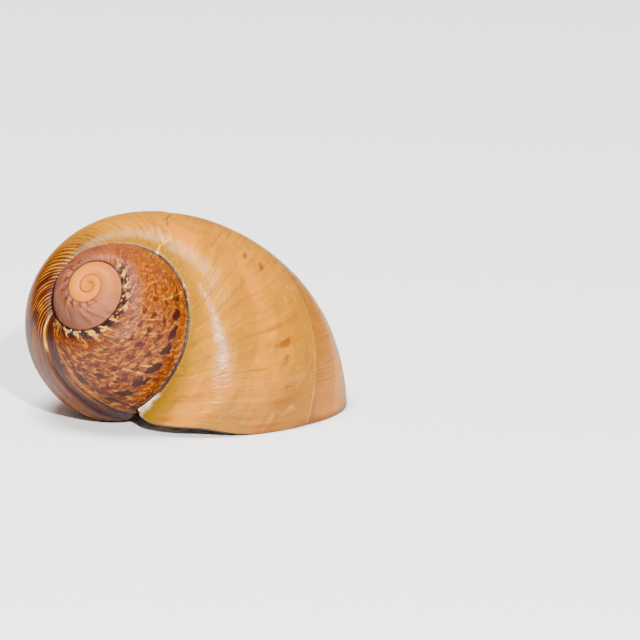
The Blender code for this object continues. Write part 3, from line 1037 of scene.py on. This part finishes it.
@dataclass(frozen=True)
class Graph:
    """A material's nodes, with short ways to make and join them."""

    material: bpy.types.Material

    def fill(self, socket: Socket, value: object) -> None:
        """Joins a socket to another or gives it a value.

        Args:
            socket: The socket.
            value: What goes into it.
        """
        if isinstance(value, Socket):
            self.material.node_tree.links.new(value, socket)
        else:
            socket.default_value = value

    def node(self, kind: str, inputs: dict[int | str, object], **settings: object) -> bpy.types.Node:
        """Makes a node.

        Args:
            kind: The node's type, without what all shader nodes' names start with.
            inputs: What goes into its inputs.
            settings: The node's other settings.

        Returns:
            The node.
        """
        node = self.material.node_tree.nodes.new("ShaderNode" + kind)
        for name, value in settings.items():
            setattr(node, name, value)
        for name, value in inputs.items():
            self.fill(node.inputs[name], value)
        return node

    def fact(self, name: str) -> Socket:
        """Returns one of the mesh's facts."""
        return self.node("Attribute", {}, attribute_name=name).outputs["Fac"]

    def calc(self, operation: str, *values: Value) -> Socket:
        """Returns the result of a sum."""
        return self.node("Math", dict(enumerate(values)), operation=operation).outputs[0]

    def times(self, *values: Value) -> Value:
        """Returns the product of several values."""
        return reduce(lambda total, value: self.calc("MULTIPLY", total, value), values)

    def scaled(self, value: Value, by: Value, plus: Value) -> Socket:
        """Returns a value times another, plus a third."""
        return self.calc("MULTIPLY_ADD", value, by, plus)

    def step(self, value: Value, start: float, end: float) -> Socket:
        """Returns a soft step: 0 at the start and 1 at the end, which may be the lower of the two."""
        inputs = {"Value": value, "From Min": start, "From Max": end}
        return self.node("MapRange", inputs, interpolation_type="SMOOTHSTEP").outputs[0]

    def band(self, value: Value, start: float, end: float, soft: float) -> Socket:
        """Returns 1 between the start and the end and 0 outside, with soft edges."""
        rise = self.step(value, start - soft / 2, start + soft / 2)
        return self.times(rise, self.step(value, end + soft / 2, end - soft / 2))

    def mix(self, share: Value, first: object, second: object) -> Socket:
        """Lays a colour over another.

        Args:
            share: How much of it is laid.
            first: The colour below.
            second: The colour above.

        Returns:
            The mixed colour.
        """
        node = self.node("Mix", {}, data_type="RGBA")
        for name, value in (("Factor_Float", share), ("A_Color", first), ("B_Color", second)):
            self.fill(next(s for s in node.inputs if s.identifier == name), value)
        return next(s for s in node.outputs if s.identifier == "Result_Color")

    def ramp(self, value: Value, stops: tuple[tuple[float, Colour], ...]) -> Socket:
        """Runs a colour through stops.

        Args:
            value: What the colour depends on.
            stops: Values with their colours.

        Returns:
            The colour.
        """
        low, high = stops[0][0], stops[-1][0]
        share = self.node("MapRange", {"Value": value, "From Min": low, "From Max": high}).outputs[0]
        node = self.node("ValToRGB", {0: share})
        elements = node.color_ramp.elements
        while len(elements) < len(stops):
            elements.new(0.5)
        for element, (level, _) in zip(elements, stops):
            element.position = (level - low) / (high - low)
        for element, (_, colour) in zip(elements, stops):
            element.color = SCREEN.paint(colour)
        return node.outputs["Color"]


class Canvas:
    """The shell's unrolled surface as a layer of the finish reads it, and the colour painted so far.

    Across is growth in steps of 0.04 turn, and along is the angle in steps of 12 degrees.
    """

    def __init__(self, graph: Graph, ground: tuple[tuple[float, Colour], ...]) -> None:
        """Reads the facts of the mesh and paints the ground.

        Args:
            graph: The material's nodes.
            ground: The ground's colours at turns of growth.
        """
        self.graph = graph
        self.growth, self.angle, self.side = graph.fact("growth"), graph.fact("angle"), graph.fact("side")
        self.below, self.over = graph.fact("below"), graph.fact("over")
        self.crest, self.past, self.scar = graph.fact("crest"), graph.fact("past"), graph.fact("scar")
        self.across, self.along = graph.times(self.growth, 1 / 0.04), graph.times(self.angle, 1 / 12)
        self.wobble = graph.calc("SUBTRACT", self.grain(1.7, 1.7, 0.0), 0.5)
        self.colour = graph.ramp(self.shifted(self.growth, 0.012), ground)

    def grain(
        self, across: float, along: float, seed: float, detail: float = 3.0, warp: float = 0.0
    ) -> Socket:
        """Makes noise on the surface.

        Args:
            across: How many bumps there are in a step of growth.
            along: How many bumps there are in a step of the angle.
            seed: Which noise it is.
            detail: How much finer noise is laid over it.
            warp: How twisted it is.

        Returns:
            The noise, from 0 to 1.
        """
        graph = self.graph
        where = {0: graph.times(self.across, across), 1: graph.times(self.along, along), 2: seed}
        vector = graph.node("CombineXYZ", where).outputs[0]
        inputs = {"Vector": vector, "Scale": 1.0, "Detail": detail, "Distortion": warp}
        return graph.node("TexNoise", inputs).outputs["Fac"]

    def patches(self, start: float, end: float, *grain: float) -> Socket:
        """Returns patches of a grain: 0 where it is at the start and 1 where it is at the end."""
        return self.graph.step(self.grain(*grain), start, end)

    def aged(self, start: float, end: float) -> Socket:
        """Returns a soft step from 0 at one growth to 1 at another."""
        return self.graph.step(self.growth, start, end)

    def ages(self, start: float, end: float, soft: float) -> Socket:
        """Returns 1 between two growths and 0 outside, with soft edges."""
        return self.graph.band(self.growth, start, end, soft)

    def shifted(self, value: Socket, amount: float) -> Socket:
        """Returns a value with the surface's slow wobble added."""
        return self.graph.scaled(self.wobble, amount, value)

    def lay(self, colour: Colour, *shares: Value) -> None:
        """Paints a colour over what is there, by the product of the shares."""
        self.colour = self.graph.mix(self.graph.times(*shares), self.colour, SCREEN.paint(colour))


@dataclass(frozen=True)
class SpotRow:
    """A row of dark spots round the whorl: its angle, the spots' sizes and strength, and its shift."""

    middle: float
    half_height: float
    half_width: float
    strength: float
    shift: float


@dataclass(frozen=True)
class ShellFinish:
    """The shell's finish: thin horn over chalk, painted by the animal as it grew.

    Colours are given as a screen shows them, 0 to 255. The stops of the ground are at turns of growth. Each
    layer's numbers are growths in turns, angles in degrees, or shares of its colour.
    """

    name: str = "shell"
    ground: tuple[tuple[float, Colour], ...] = (
        (-4.5, (226, 160, 96)),
        (-3.1, (230, 164, 100)),
        (-2.45, (232, 166, 108)),
        (-2.15, (218, 148, 106)),
        (-1.92, (200, 130, 98)),
        (-1.80, (180, 106, 66)),
        (-1.60, (188, 110, 76)),
        (-1.32, (206, 128, 86)),
        (-1.18, (204, 122, 56)),
        (-1.02, (192, 110, 26)),
        (-0.88, (174, 90, 8)),
        # From -0.81 to -0.66 the ground is the shell's own dark brown, deepened further with painted shade
        # of the side turned away from the key lamp.
        (-0.81, (118, 54, 10)),
        (-0.77, (100, 40, 4)),
        (-0.74, (106, 44, 4)),
        (-0.66, (134, 64, 4)),
        (-0.57, (212, 148, 34)),
        (-0.42, (228, 174, 42)),
        (-0.335, (226, 172, 38)),
        (-0.30, (226, 172, 44)),
        (-0.18, (224, 169, 40)),
        (-0.08, (216, 160, 34)),
        (0.02, (204, 142, 20)),
    )
    maroon: Colour = (82, 20, 12)
    red_brown: Colour = (138, 50, 12)
    purple_brown: Colour = (66, 24, 22)
    cream: Colour = (236, 200, 130)
    mauve: Colour = (176, 100, 90)
    gold: Colour = (222, 158, 54)
    olive: Colour = (204, 156, 20)
    peach: Colour = (234, 174, 66)
    pink: Colour = (162, 88, 46)
    orange: Colour = (192, 108, 24)
    chalk: Colour = (240, 234, 214)
    # The suture line's colours, late and on the first whorls: partly the seam's own tone, partly painted
    # shade in its groove.
    suture: Colour = (44, 16, 6)
    early_suture: Colour = (150, 74, 40)
    inside: Colour = (228, 206, 180)
    spot_rows: tuple[SpotRow, ...] = (
        SpotRow(10.0, 5.0, 0.32, 1.0, 0.0),
        SpotRow(-10.0, 3.6, 0.26, 0.8, 0.4),
        SpotRow(24.0, 3.0, 0.26, 0.80, 0.8),
        SpotRow(37.0, 3.4, 0.26, 0.85, 0.3),
        SpotRow(49.0, 2.8, 0.22, 0.70, 0.6),
        SpotRow(60.0, 2.8, 0.22, 0.60, 0.1),
    )
    gloss: float = 0.28
    gloss_index: float = 1.7
    gloss_roughness: float = 0.13

    def material(self) -> bpy.types.Material:
        """Builds the material.

        Returns:
            The material.
        """
        material = bpy.data.materials.new(self.name)
        material.use_nodes = True
        graph = Graph(material)
        canvas = Canvas(graph, self.ground)
        for layer in (self.veil, self.mottle, self.flames, self.spots, self.pause, self.pleats):
            layer(canvas)
        for layer in (self.last_whorl, self.mend, self.scars, self.seams, self.mouth):
            layer(canvas)

        shader = material.node_tree.nodes["Principled BSDF"].inputs
        shader["Specular IOR Level"].default_value = 0.0
        shader["Coat IOR"].default_value = self.gloss_index
        shader["Coat Roughness"].default_value = self.gloss_roughness
        old = canvas.aged(-1.9, -2.3)
        fine = self.scratches(canvas, old)
        graph.fill(shader["Base Color"], canvas.colour)
        graph.fill(shader["Coat Weight"], graph.scaled(old, -0.16, self.gloss))
        rough = graph.scaled(canvas.grain(2.0, 1.3, 6.0), 0.20, 0.09)
        graph.fill(shader["Roughness"], graph.scaled(old, 0.22, rough))
        graph.fill(shader["Normal"], fine)
        graph.fill(shader["Coat Normal"], fine)
        return material

    def veil(self, canvas: Canvas) -> None:
        """Lays soft stripes and a mauve bloom over the whorl after the nucleus.

        Args:
            canvas: The surface to paint.
        """
        young = canvas.ages(-2.05, -1.30, 0.25)
        canvas.lay(self.red_brown, canvas.patches(0.50, 0.66, 1.5, 0.30, 1.0, 4.0), young, 0.55)
        canvas.lay(self.cream, canvas.patches(0.56, 0.70, 1.3, 0.22, 2.0, 4.0), young, 0.28)
        outer = canvas.graph.step(canvas.angle, 96.0, 40.0)
        bloom = canvas.graph.times(canvas.ages(-1.75, -1.0, 0.3), outer)
        canvas.lay(self.mauve, canvas.patches(0.42, 0.62, 0.7, 0.7, 3.0), bloom, 0.35)

    def mottle(self, canvas: Canvas) -> None:
        """Draws the red-brown network with its pale gaps.

        Args:
            canvas: The surface to paint.
        """
        graph = canvas.graph
        zone = graph.times(canvas.aged(-1.50, -1.16), canvas.aged(-0.795, -0.815))
        dense = canvas.aged(-1.25, -0.88)
        canvas.lay(self.orange, canvas.patches(0.50, 0.60, 1.5, 1.2, 4.0, 4.0, 0.6), zone, 0.50)
        net = canvas.grain(4.4, 3.2, 5.0, 4.0, 1.0)
        ridge = graph.calc("ABSOLUTE", graph.calc("SUBTRACT", net, 0.5))
        canvas.lay(self.red_brown, graph.step(ridge, 0.062, 0.020), zone, graph.scaled(dense, 0.25, 0.55))
        dark = canvas.patches(0.55, 0.61, 3.0, 2.4, 7.0, 5.0, 0.8)
        canvas.lay(self.red_brown, dark, zone, graph.scaled(dense, 0.45, 0.4))
        deep = canvas.patches(0.54, 0.61, 2.6, 2.2, 8.0, 4.0, 0.8)
        canvas.lay(self.maroon, deep, zone, graph.scaled(dense, 0.6, 0.1))
        canvas.lay(self.gold, canvas.patches(0.52, 0.60, 3.4, 2.4, 9.0, 4.0, 0.5), zone, 0.60)
        canvas.lay(self.cream, canvas.patches(0.62, 0.70, 3.2, 0.20, 10.0), zone, 0.55)

    def flames(self, canvas: Canvas) -> None:
        """Draws the dark flames and pale tongues under the suture.

        Args:
            canvas: The surface to paint.
        """
        graph = canvas.graph
        wave = graph.calc("SINE", graph.times(canvas.shifted(canvas.across, 2.2), 2 * math.pi / 1.25))
        wave = graph.scaled(graph.calc("SUBTRACT", canvas.grain(1.1, 0.8, 26.0), 0.5), 2.4, wave)
        ragged = graph.scaled(canvas.grain(3.0, 3.0, 11.0, 1.0), -1.9, canvas.below)
        zone = canvas.ages(-1.32, -0.79, 0.10)
        canvas.lay(self.red_brown, graph.step(wave, -0.15, 0.35), graph.step(ragged, 2.4, 0.9), zone, 0.85)
        canvas.lay(self.cream, graph.step(wave, -0.55, -0.85), graph.step(ragged, 0.8, 0.1), zone, 0.80)
        near = graph.times(graph.step(ragged, 0.60, 0.25), zone)
        canvas.lay(self.purple_brown, graph.step(wave, -0.25, 0.0), near, 0.97)
        wave = graph.calc("SINE", graph.times(canvas.shifted(canvas.across, 2.0), 2 * math.pi / 1.6))
        early = graph.times(canvas.ages(-2.05, -1.5, 0.08), graph.step(ragged, 0.35, 0.0))
        canvas.lay(self.red_brown, graph.step(wave, 0.35, 0.7), early, 0.85)

    def spots(self, canvas: Canvas) -> None:
        """Draws the rows of spots that run round the whorl.

        Args:
            canvas: The surface to paint.
        """
        graph = canvas.graph
        level = graph.scaled(graph.calc("ADD", canvas.growth, 0.95), 33.0, canvas.angle)
        zone = graph.times(canvas.aged(-1.20, -1.06), canvas.aged(-0.775, -0.79))
        ragged = graph.calc("SUBTRACT", canvas.grain(3.4, 3.4, 12.0), 0.5)
        for row in self.spot_rows:
            turns = graph.calc("ADD", canvas.shifted(canvas.across, 1.1), row.shift)
            aside = graph.calc("SUBTRACT", graph.calc("FRACT", turns), 0.5)
            aside = graph.calc("POWER", graph.calc("DIVIDE", aside, row.half_width), 2.0)
            height = graph.calc("SUBTRACT", canvas.shifted(level, 7.0), row.middle)
            away = graph.calc("POWER", graph.calc("DIVIDE", height, row.half_height), 2.0)
            away = graph.scaled(ragged, 2.6, graph.calc("ADD", away, aside))
            canvas.lay(self.maroon, graph.step(away, 1.15, 0.80), zone, row.strength)

    def pause(self, canvas: Canvas) -> None:
        """Draws the streaks of the growth pause, dark before it and pink after it.

        Args:
            canvas: The surface to paint.
        """
        graph = canvas.graph
        streak = canvas.grain(3.2, 0.16, 13.0, 3.0, 0.3)
        zone = canvas.ages(-0.84, -0.70, 0.03)
        canvas.lay(self.gold, graph.step(streak, 0.54, 0.60), zone, 0.45)
        canvas.lay(self.purple_brown, graph.step(streak, 0.50, 0.40), zone, 0.85)
        line = canvas.shifted(canvas.growth, 0.010)
        canvas.lay(self.purple_brown, graph.band(line, -0.800, -0.776, 0.012), 0.75)
        canvas.lay(self.maroon, graph.band(line, -0.778, -0.772, 0.004), 0.9)
        below_top = graph.step(canvas.angle, 74.0, 56.0)
        canvas.lay(self.pink, graph.band(line, -0.768, -0.735, 0.01), below_top, 0.5)
        by_suture = graph.band(canvas.angle, 55.0, 88.0, 8.0)
        canvas.lay(self.cream, graph.band(line, -0.770, -0.763, 0.004), by_suture, 0.8)
        brown = graph.times(canvas.ages(-0.74, -0.55, 0.06), graph.step(canvas.angle, 78.0, 50.0))
        canvas.lay(self.orange, brown, canvas.patches(0.35, 0.60, 1.3, 0.2, 14.0), 0.8)

    def pleats(self, canvas: Canvas) -> None:
        """Paints shade into the valleys of the pleats and paints highlight on their crests, over a red-brown
        tone.

        Args:
            canvas: The surface to paint.
        """
        graph = canvas.graph
        high = graph.step(canvas.shifted(canvas.angle, 18.0), 56.0, 74.0)
        zone = graph.times(canvas.ages(-0.80, -0.50, 0.10), high)
        canvas.lay(self.red_brown, zone, 0.50)
        # Painted shade: the valleys of the pleats are darkened.
        canvas.lay(self.maroon, graph.step(canvas.crest, 0.42, 0.12), zone, 0.92)
        # Painted highlight: the crests of the pleats are lightened.
        canvas.lay(self.gold, graph.step(canvas.crest, 0.30, 0.62), zone, 0.95)
        canvas.lay(self.purple_brown, canvas.patches(0.48, 0.60, 0.8, 0.7, 15.0), zone, 0.65)
        late = graph.times(canvas.ages(-0.56, -0.33, 0.08), high)
        # Painted shade in the valleys of the fainter pleats after them.
        canvas.lay(self.orange, graph.step(canvas.crest, 0.16, 0.02), late, 0.35)

    def last_whorl(self, canvas: Canvas) -> None:
        """Varies the ochre of the last whorl: olive by the suture, peach patches and fine growth streaks.

        Args:
            canvas: The surface to paint.
        """
        graph = canvas.graph
        late = canvas.aged(-0.62, -0.45)
        canvas.lay(self.olive, graph.step(canvas.shifted(canvas.below, 3.0), 4.2, 0.4), late, 0.75)
        mended = graph.times(canvas.aged(-0.36, -0.30), graph.step(canvas.below, 2.0, 5.0))
        canvas.lay(self.peach, canvas.patches(0.50, 0.64, 0.30, 0.45, 16.0), mended, 0.55)
        canvas.lay(self.orange, canvas.patches(0.52, 0.68, 0.35, 0.35, 17.0), late, 0.25)
        streak = canvas.grain(6.0, 0.25, 18.0, 4.0)
        canvas.lay(self.cream, graph.step(streak, 0.54, 0.72), canvas.aged(-0.70, -0.50), 0.24)
        canvas.lay(self.orange, graph.step(streak, 0.47, 0.32), canvas.aged(-0.80, -0.60), 0.45)
        canvas.lay(self.cream, canvas.patches(0.54, 0.72, 3.2, 2.6, 27.0, 5.0), late, 0.24)
        canvas.lay(self.orange, canvas.patches(0.54, 0.70, 2.6, 1.8, 28.0, 5.0), late, 0.34)
        low = graph.times(graph.band(canvas.angle, -14.0, 2.4, 2.0), canvas.aged(-0.20, -0.12))
        canvas.lay(self.orange, low, 0.35)
        line = graph.band(canvas.shifted(canvas.angle, 1.0), 2.3, 2.8, 0.4)
        canvas.lay(self.cream, line, canvas.aged(-0.14, -0.10), 0.5)

    def mend(self, canvas: Canvas) -> None:
        """Colours the old break: a pale jagged line, and peach-coloured shell where it was mended.

        Args:
            canvas: The surface to paint.
        """
        graph = canvas.graph
        ragged = graph.calc("SUBTRACT", canvas.past, 0.004)
        ragged = graph.scaled(canvas.grain(5.0, 2.0, 19.0), 0.008, ragged)
        high = graph.band(canvas.shifted(canvas.angle, 14.0), 54.0, 76.0, 8.0)
        canvas.lay(self.peach, graph.band(ragged, 0.0, 0.06, 0.012), high, 0.9)
        by_suture = graph.band(canvas.angle, 66.0, 84.0, 8.0)
        before = graph.times(graph.band(ragged, -0.045, 0.0, 0.012), by_suture)
        canvas.lay(self.cream, before, canvas.patches(0.45, 0.60, 4.0, 0.5, 20.0), 0.7)
        upper = graph.step(canvas.angle, 58.0, 66.0)
        canvas.lay(self.cream, graph.band(ragged, -0.003, 0.001, 0.002), upper, 0.85)
        middle = graph.band(canvas.angle, 20.0, 62.0, 12.0)
        canvas.lay(self.red_brown, graph.band(canvas.past, -0.002, 0.001, 0.002), middle, 0.55)

    def scars(self, canvas: Canvas) -> None:
        """Stains the scars orange-brown."""
        canvas.lay(self.orange, canvas.graph.step(canvas.scar, 0.10, 0.45), 0.80)
        canvas.lay(self.red_brown, canvas.graph.step(canvas.scar, 0.50, 0.90), 0.65)

    def seams(self, canvas: Canvas) -> None:
        """Draws the thin dark suture line, partly the seam's own colour and partly painted shade in its
        groove; it is pale brown on the first whorls.

        Args:
            canvas: The surface to paint.
        """
        graph = canvas.graph
        near = graph.calc("MINIMUM", canvas.below, canvas.over)
        late = canvas.aged(-2.1, -1.2)
        width = graph.scaled(late, 0.19, 0.04)
        width = graph.times(width, graph.scaled(canvas.grain(9.0, 0.0, 21.0), 1.6, 0.4))
        tone = graph.mix(late, SCREEN.paint(self.early_suture), SCREEN.paint(self.suture))
        # The dark line along the suture is partly its own colour and partly painted shade of the groove.
        line = graph.step(graph.calc("DIVIDE", near, width), 1.5, 0.7)
        canvas.colour = graph.mix(graph.times(line, 0.9), canvas.colour, tone)
        speck = graph.times(canvas.patches(0.62, 0.66, 1.7, 0.0, 22.0), canvas.aged(-1.0, -0.9))
        canvas.lay(self.chalk, speck, graph.band(canvas.below, 0.14, 0.40, 0.10), 0.8)

    def mouth(self, canvas: Canvas) -> None:
        """Colours the callus by the suture's end, the brown edge of the lip and the pale inside.

        Args:
            canvas: The surface to paint.
        """
        graph = canvas.graph
        reach = graph.scaled(canvas.grain(2.2, 2.2, 23.0), 12.0, canvas.angle)
        last = canvas.aged(-0.055, -0.030)
        canvas.lay(self.olive, graph.step(reach, 84.0, 92.0), last, 0.8)
        canvas.lay(self.chalk, graph.step(reach, 100.0, 105.0), last, 0.95)
        outer = graph.band(canvas.angle, -100.0, 6.0, 24.0)
        canvas.lay(self.red_brown, canvas.aged(-0.008, -0.001), outer, 0.7)
        canvas.lay(self.cream, graph.step(canvas.angle, -135.0, -165.0), 0.7)
        canvas.lay(self.inside, graph.step(canvas.side, 0.45, 0.75))

    def scratches(self, canvas: Canvas, old: Socket) -> Socket:
        """Draws the surface's finest growth lines and grain as a bump.

        Args:
            canvas: The surface.
            old: Where the shell is old, and has little of it.

        Returns:
            The bumped normal.
        """
        graph = canvas.graph
        height = graph.scaled(canvas.grain(9.0, 5.0, 25.0), 0.40, canvas.grain(14.0, 0.4, 24.0, 4.0))
        height = graph.times(height, graph.scaled(old, -0.75, 1.0))
        return graph.node("Bump", {"Strength": 0.7, "Distance": 0.00013, "Height": height}).outputs["Normal"]


@dataclass(frozen=True)
class RestingPose:
    """How the shell lies: turned about its axis, leant over, and turned about the vertical, in degrees."""

    spin: float = 20.5
    lean: float = 55.75
    heading: float = -118.5

    def settle(self, points: Array, box: tuple[Array, Array]) -> Array:
        """Lays points down as the solid lies.

        Args:
            points: Points with the shell's axis up, in millimetres.
            box: The lowest and highest corner of the solid, in metres.

        Returns:
            The points in metres, with the solid's middle and top.
        """
        turn = Matrix.Rotation(math.radians(self.heading), 3, "Z")
        turn = turn @ Matrix.Rotation(math.radians(self.lean), 3, "Y")
        turn = turn @ Matrix.Rotation(math.radians(self.spin), 3, "Z")
        points = points @ np.array(turn).T * MM
        low, high = points.min(axis=0), points.max(axis=0)
        goal_low, goal_high = np.array(box[0]), np.array(box[1])
        points[:, :2] += ((goal_low + goal_high) / 2 - (low + high) / 2)[:2]
        points[:, 2] += goal_high[2] - high[2]
        points[:, 2] = np.maximum(points[:, 2], goal_low[2])
        return points


@dataclass
class Shell:
    """The whole shell: its fine surface with its relief and its finish, laid down."""

    wall: ShellWall = field(default_factory=ShellWall)
    relief: Relief = field(default_factory=Relief)
    pose: RestingPose = field(default_factory=RestingPose)
    finish: ShellFinish = field(default_factory=ShellFinish)

    def build(self) -> bpy.types.Object:
        """Builds the shell's mesh and dresses it.

        Returns:
            The shell.
        """
        surface = self.wall.build()
        faces = [list(reversed(face)) for face in surface.faces]
        numbers = [[spot[0] for spot in face] for face in faces]
        points = self.raise_relief(np.concatenate(surface.points), numbers, surface)
        mesh = bpy.data.meshes.new("land_snail_shell")
        mesh.from_pydata(self.pose.settle(points, CAD_BOX).tolist(), [], numbers)
        mesh.polygons.foreach_set("use_smooth", [True] * len(mesh.polygons))
        self.mark(mesh, surface, [spot[1] for face in faces for spot in face])
        mesh.materials.append(self.finish.material())
        shell = bpy.data.objects.new("land_snail_shell", mesh)
        bpy.context.collection.objects.link(shell)
        return shell

    def facts(self, surface: Surface, chosen: Array) -> Facts:
        """Returns the chosen ones of the surface's facts."""
        turn, angle, side, below, over = np.concatenate(surface.facts)[chosen].T
        return Facts(turn, np.degrees(angle), self.wall.growth(turn, angle), side, below, over)

    def raise_relief(self, points: Array, faces: list[list[int]], surface: Surface) -> Array:
        """Moves the points out along their normals by the relief.

        Args:
            points: The points.
            faces: The faces between them.
            surface: The surface whose facts tell how high the relief is.

        Returns:
            The moved points.
        """
        owners = np.array(surface.owners)
        over = np.concatenate(surface.facts)[:, 4]
        chosen = np.zeros(len(points), int)
        for numbers in (np.flatnonzero(over == 0), np.flatnonzero(over != 0)):
            chosen[owners[numbers]] = numbers
        corners = np.array([face if len(face) == 4 else [*face, face[-1]] for face in faces])
        first = points[corners[:, 2]] - points[corners[:, 0]]
        second = points[corners[:, 3]] - points[corners[:, 1]]
        normals = np.zeros_like(points)
        for corner in range(4):
            np.add.at(normals, corners[:, corner], np.cross(first, second))
        normals /= np.maximum(np.linalg.norm(normals, axis=1), 1e-9)[:, None]
        return points + normals * self.relief.height(self.facts(surface, chosen))[:, None]

    def mark(self, mesh: bpy.types.Mesh, surface: Surface, corners: list[int]) -> None:
        """Stores each face corner's facts on the mesh, for the finish to read.

        Args:
            mesh: The mesh.
            surface: The surface that it was made from.
            corners: The number of each corner's fact.
        """
        facts = self.facts(surface, np.array(corners))
        for name, value in {**vars(facts), **self.relief.tints(facts)}.items():
            attribute = mesh.attributes.new(name, "FLOAT", "CORNER")
            attribute.data.foreach_set("value", value.astype(np.float32))


@dataclass(frozen=True)
class Lamp:
    """A soft lamp: where it hangs, how large and how bright it is."""

    name: str
    place: tuple[float, float, float]
    size: float
    watts: float


@dataclass
class Studio:
    """The pale floor, the soft lamps and the camera."""

    floor_size: float = 6.0
    floor_white: float = 0.95
    floor_roughness: float = 0.9
    sky: float = 0.30
    lamps: tuple[Lamp, ...] = (
        Lamp("key", (0.14, -0.86, 0.46), 0.05, 24.0),
        Lamp("top", (-0.15, -0.10, 1.00), 0.60, 23.0),
        Lamp("low", (0.62, -0.88, 0.07), 0.05, 1.5),
    )
    distance: float = 2.0
    elevation: float = 12.9
    roll: float = -0.3
    sensor: float = 36.0
    view_width: float = 0.0773
    aim: tuple[float, float, float] = (0.0162, 0.0, 0.0112)

    def build(self) -> None:
        """Builds the floor, hangs the lamps and sets up the camera."""
        self.floor()
        self.light()
        self.camera()

    def floor(self) -> None:
        """Makes the floor."""
        half = self.floor_size / 2
        mesh = bpy.data.meshes.new("floor")
        corners = [(-half, -half, 0), (half, -half, 0), (half, half, 0), (-half, half, 0)]
        mesh.from_pydata(corners, [], [(0, 1, 2, 3)])
        material = bpy.data.materials.new("floor")
        material.use_nodes = True
        shader = material.node_tree.nodes["Principled BSDF"]
        shader.inputs["Base Color"].default_value = (*[self.floor_white] * 3, 1)
        shader.inputs["Roughness"].default_value = self.floor_roughness
        mesh.materials.append(material)
        floor = bpy.data.objects.new("floor", mesh)
        bpy.context.collection.objects.link(floor)

    def light(self) -> None:
        """Hangs the lamps and lights the sky."""
        world = bpy.data.worlds.new("sky")
        bpy.context.scene.world = world
        world.use_nodes = True
        sky = world.node_tree.nodes["Background"].inputs
        sky["Color"].default_value = (1, 1, 1, 1)
        sky["Strength"].default_value = self.sky
        for lamp in self.lamps:
            data = bpy.data.lights.new(lamp.name, "AREA")
            data.shape, data.size, data.energy = "DISK", lamp.size, lamp.watts
            light = bpy.data.objects.new(lamp.name, data)
            light.location = lamp.place
            light.rotation_euler = (-Vector(lamp.place)).to_track_quat("-Z", "Y").to_euler()
            bpy.context.collection.objects.link(light)

    def camera(self) -> None:
        """Sets up the camera, with a long lens."""
        data = bpy.data.cameras.new("camera")
        data.sensor_width = self.sensor
        data.lens = self.sensor * self.distance / self.view_width
        data.clip_start, data.clip_end = 0.01, 20
        camera = bpy.data.objects.new("camera", data)
        tilt = Matrix.Rotation(math.radians(90 - self.elevation), 4, "X")
        turn = tilt @ Matrix.Rotation(math.radians(self.roll), 4, "Z")
        away = tilt.to_3x3() @ Vector((0, 0, self.distance))
        camera.matrix_world = Matrix.Translation(Vector(self.aim) + away) @ turn
        bpy.context.collection.objects.link(camera)
        bpy.context.scene.camera = camera


def main() -> None:
    """Builds the shell and the studio, and logs how many faces and lamps they have."""
    logging.basicConfig(level=logging.INFO, format="%(name)s: %(message)s")
    piece = Shell().build()
    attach(piece, "root")
    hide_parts("shell")
    LOG.info("%s has %d faces", piece.name, len(piece.data.polygons))
    studio = Studio()
    studio.build()
    LOG.info("the studio has its floor, its camera and %d lamps", len(studio.lamps))


if __name__ == "__main__":
    main()
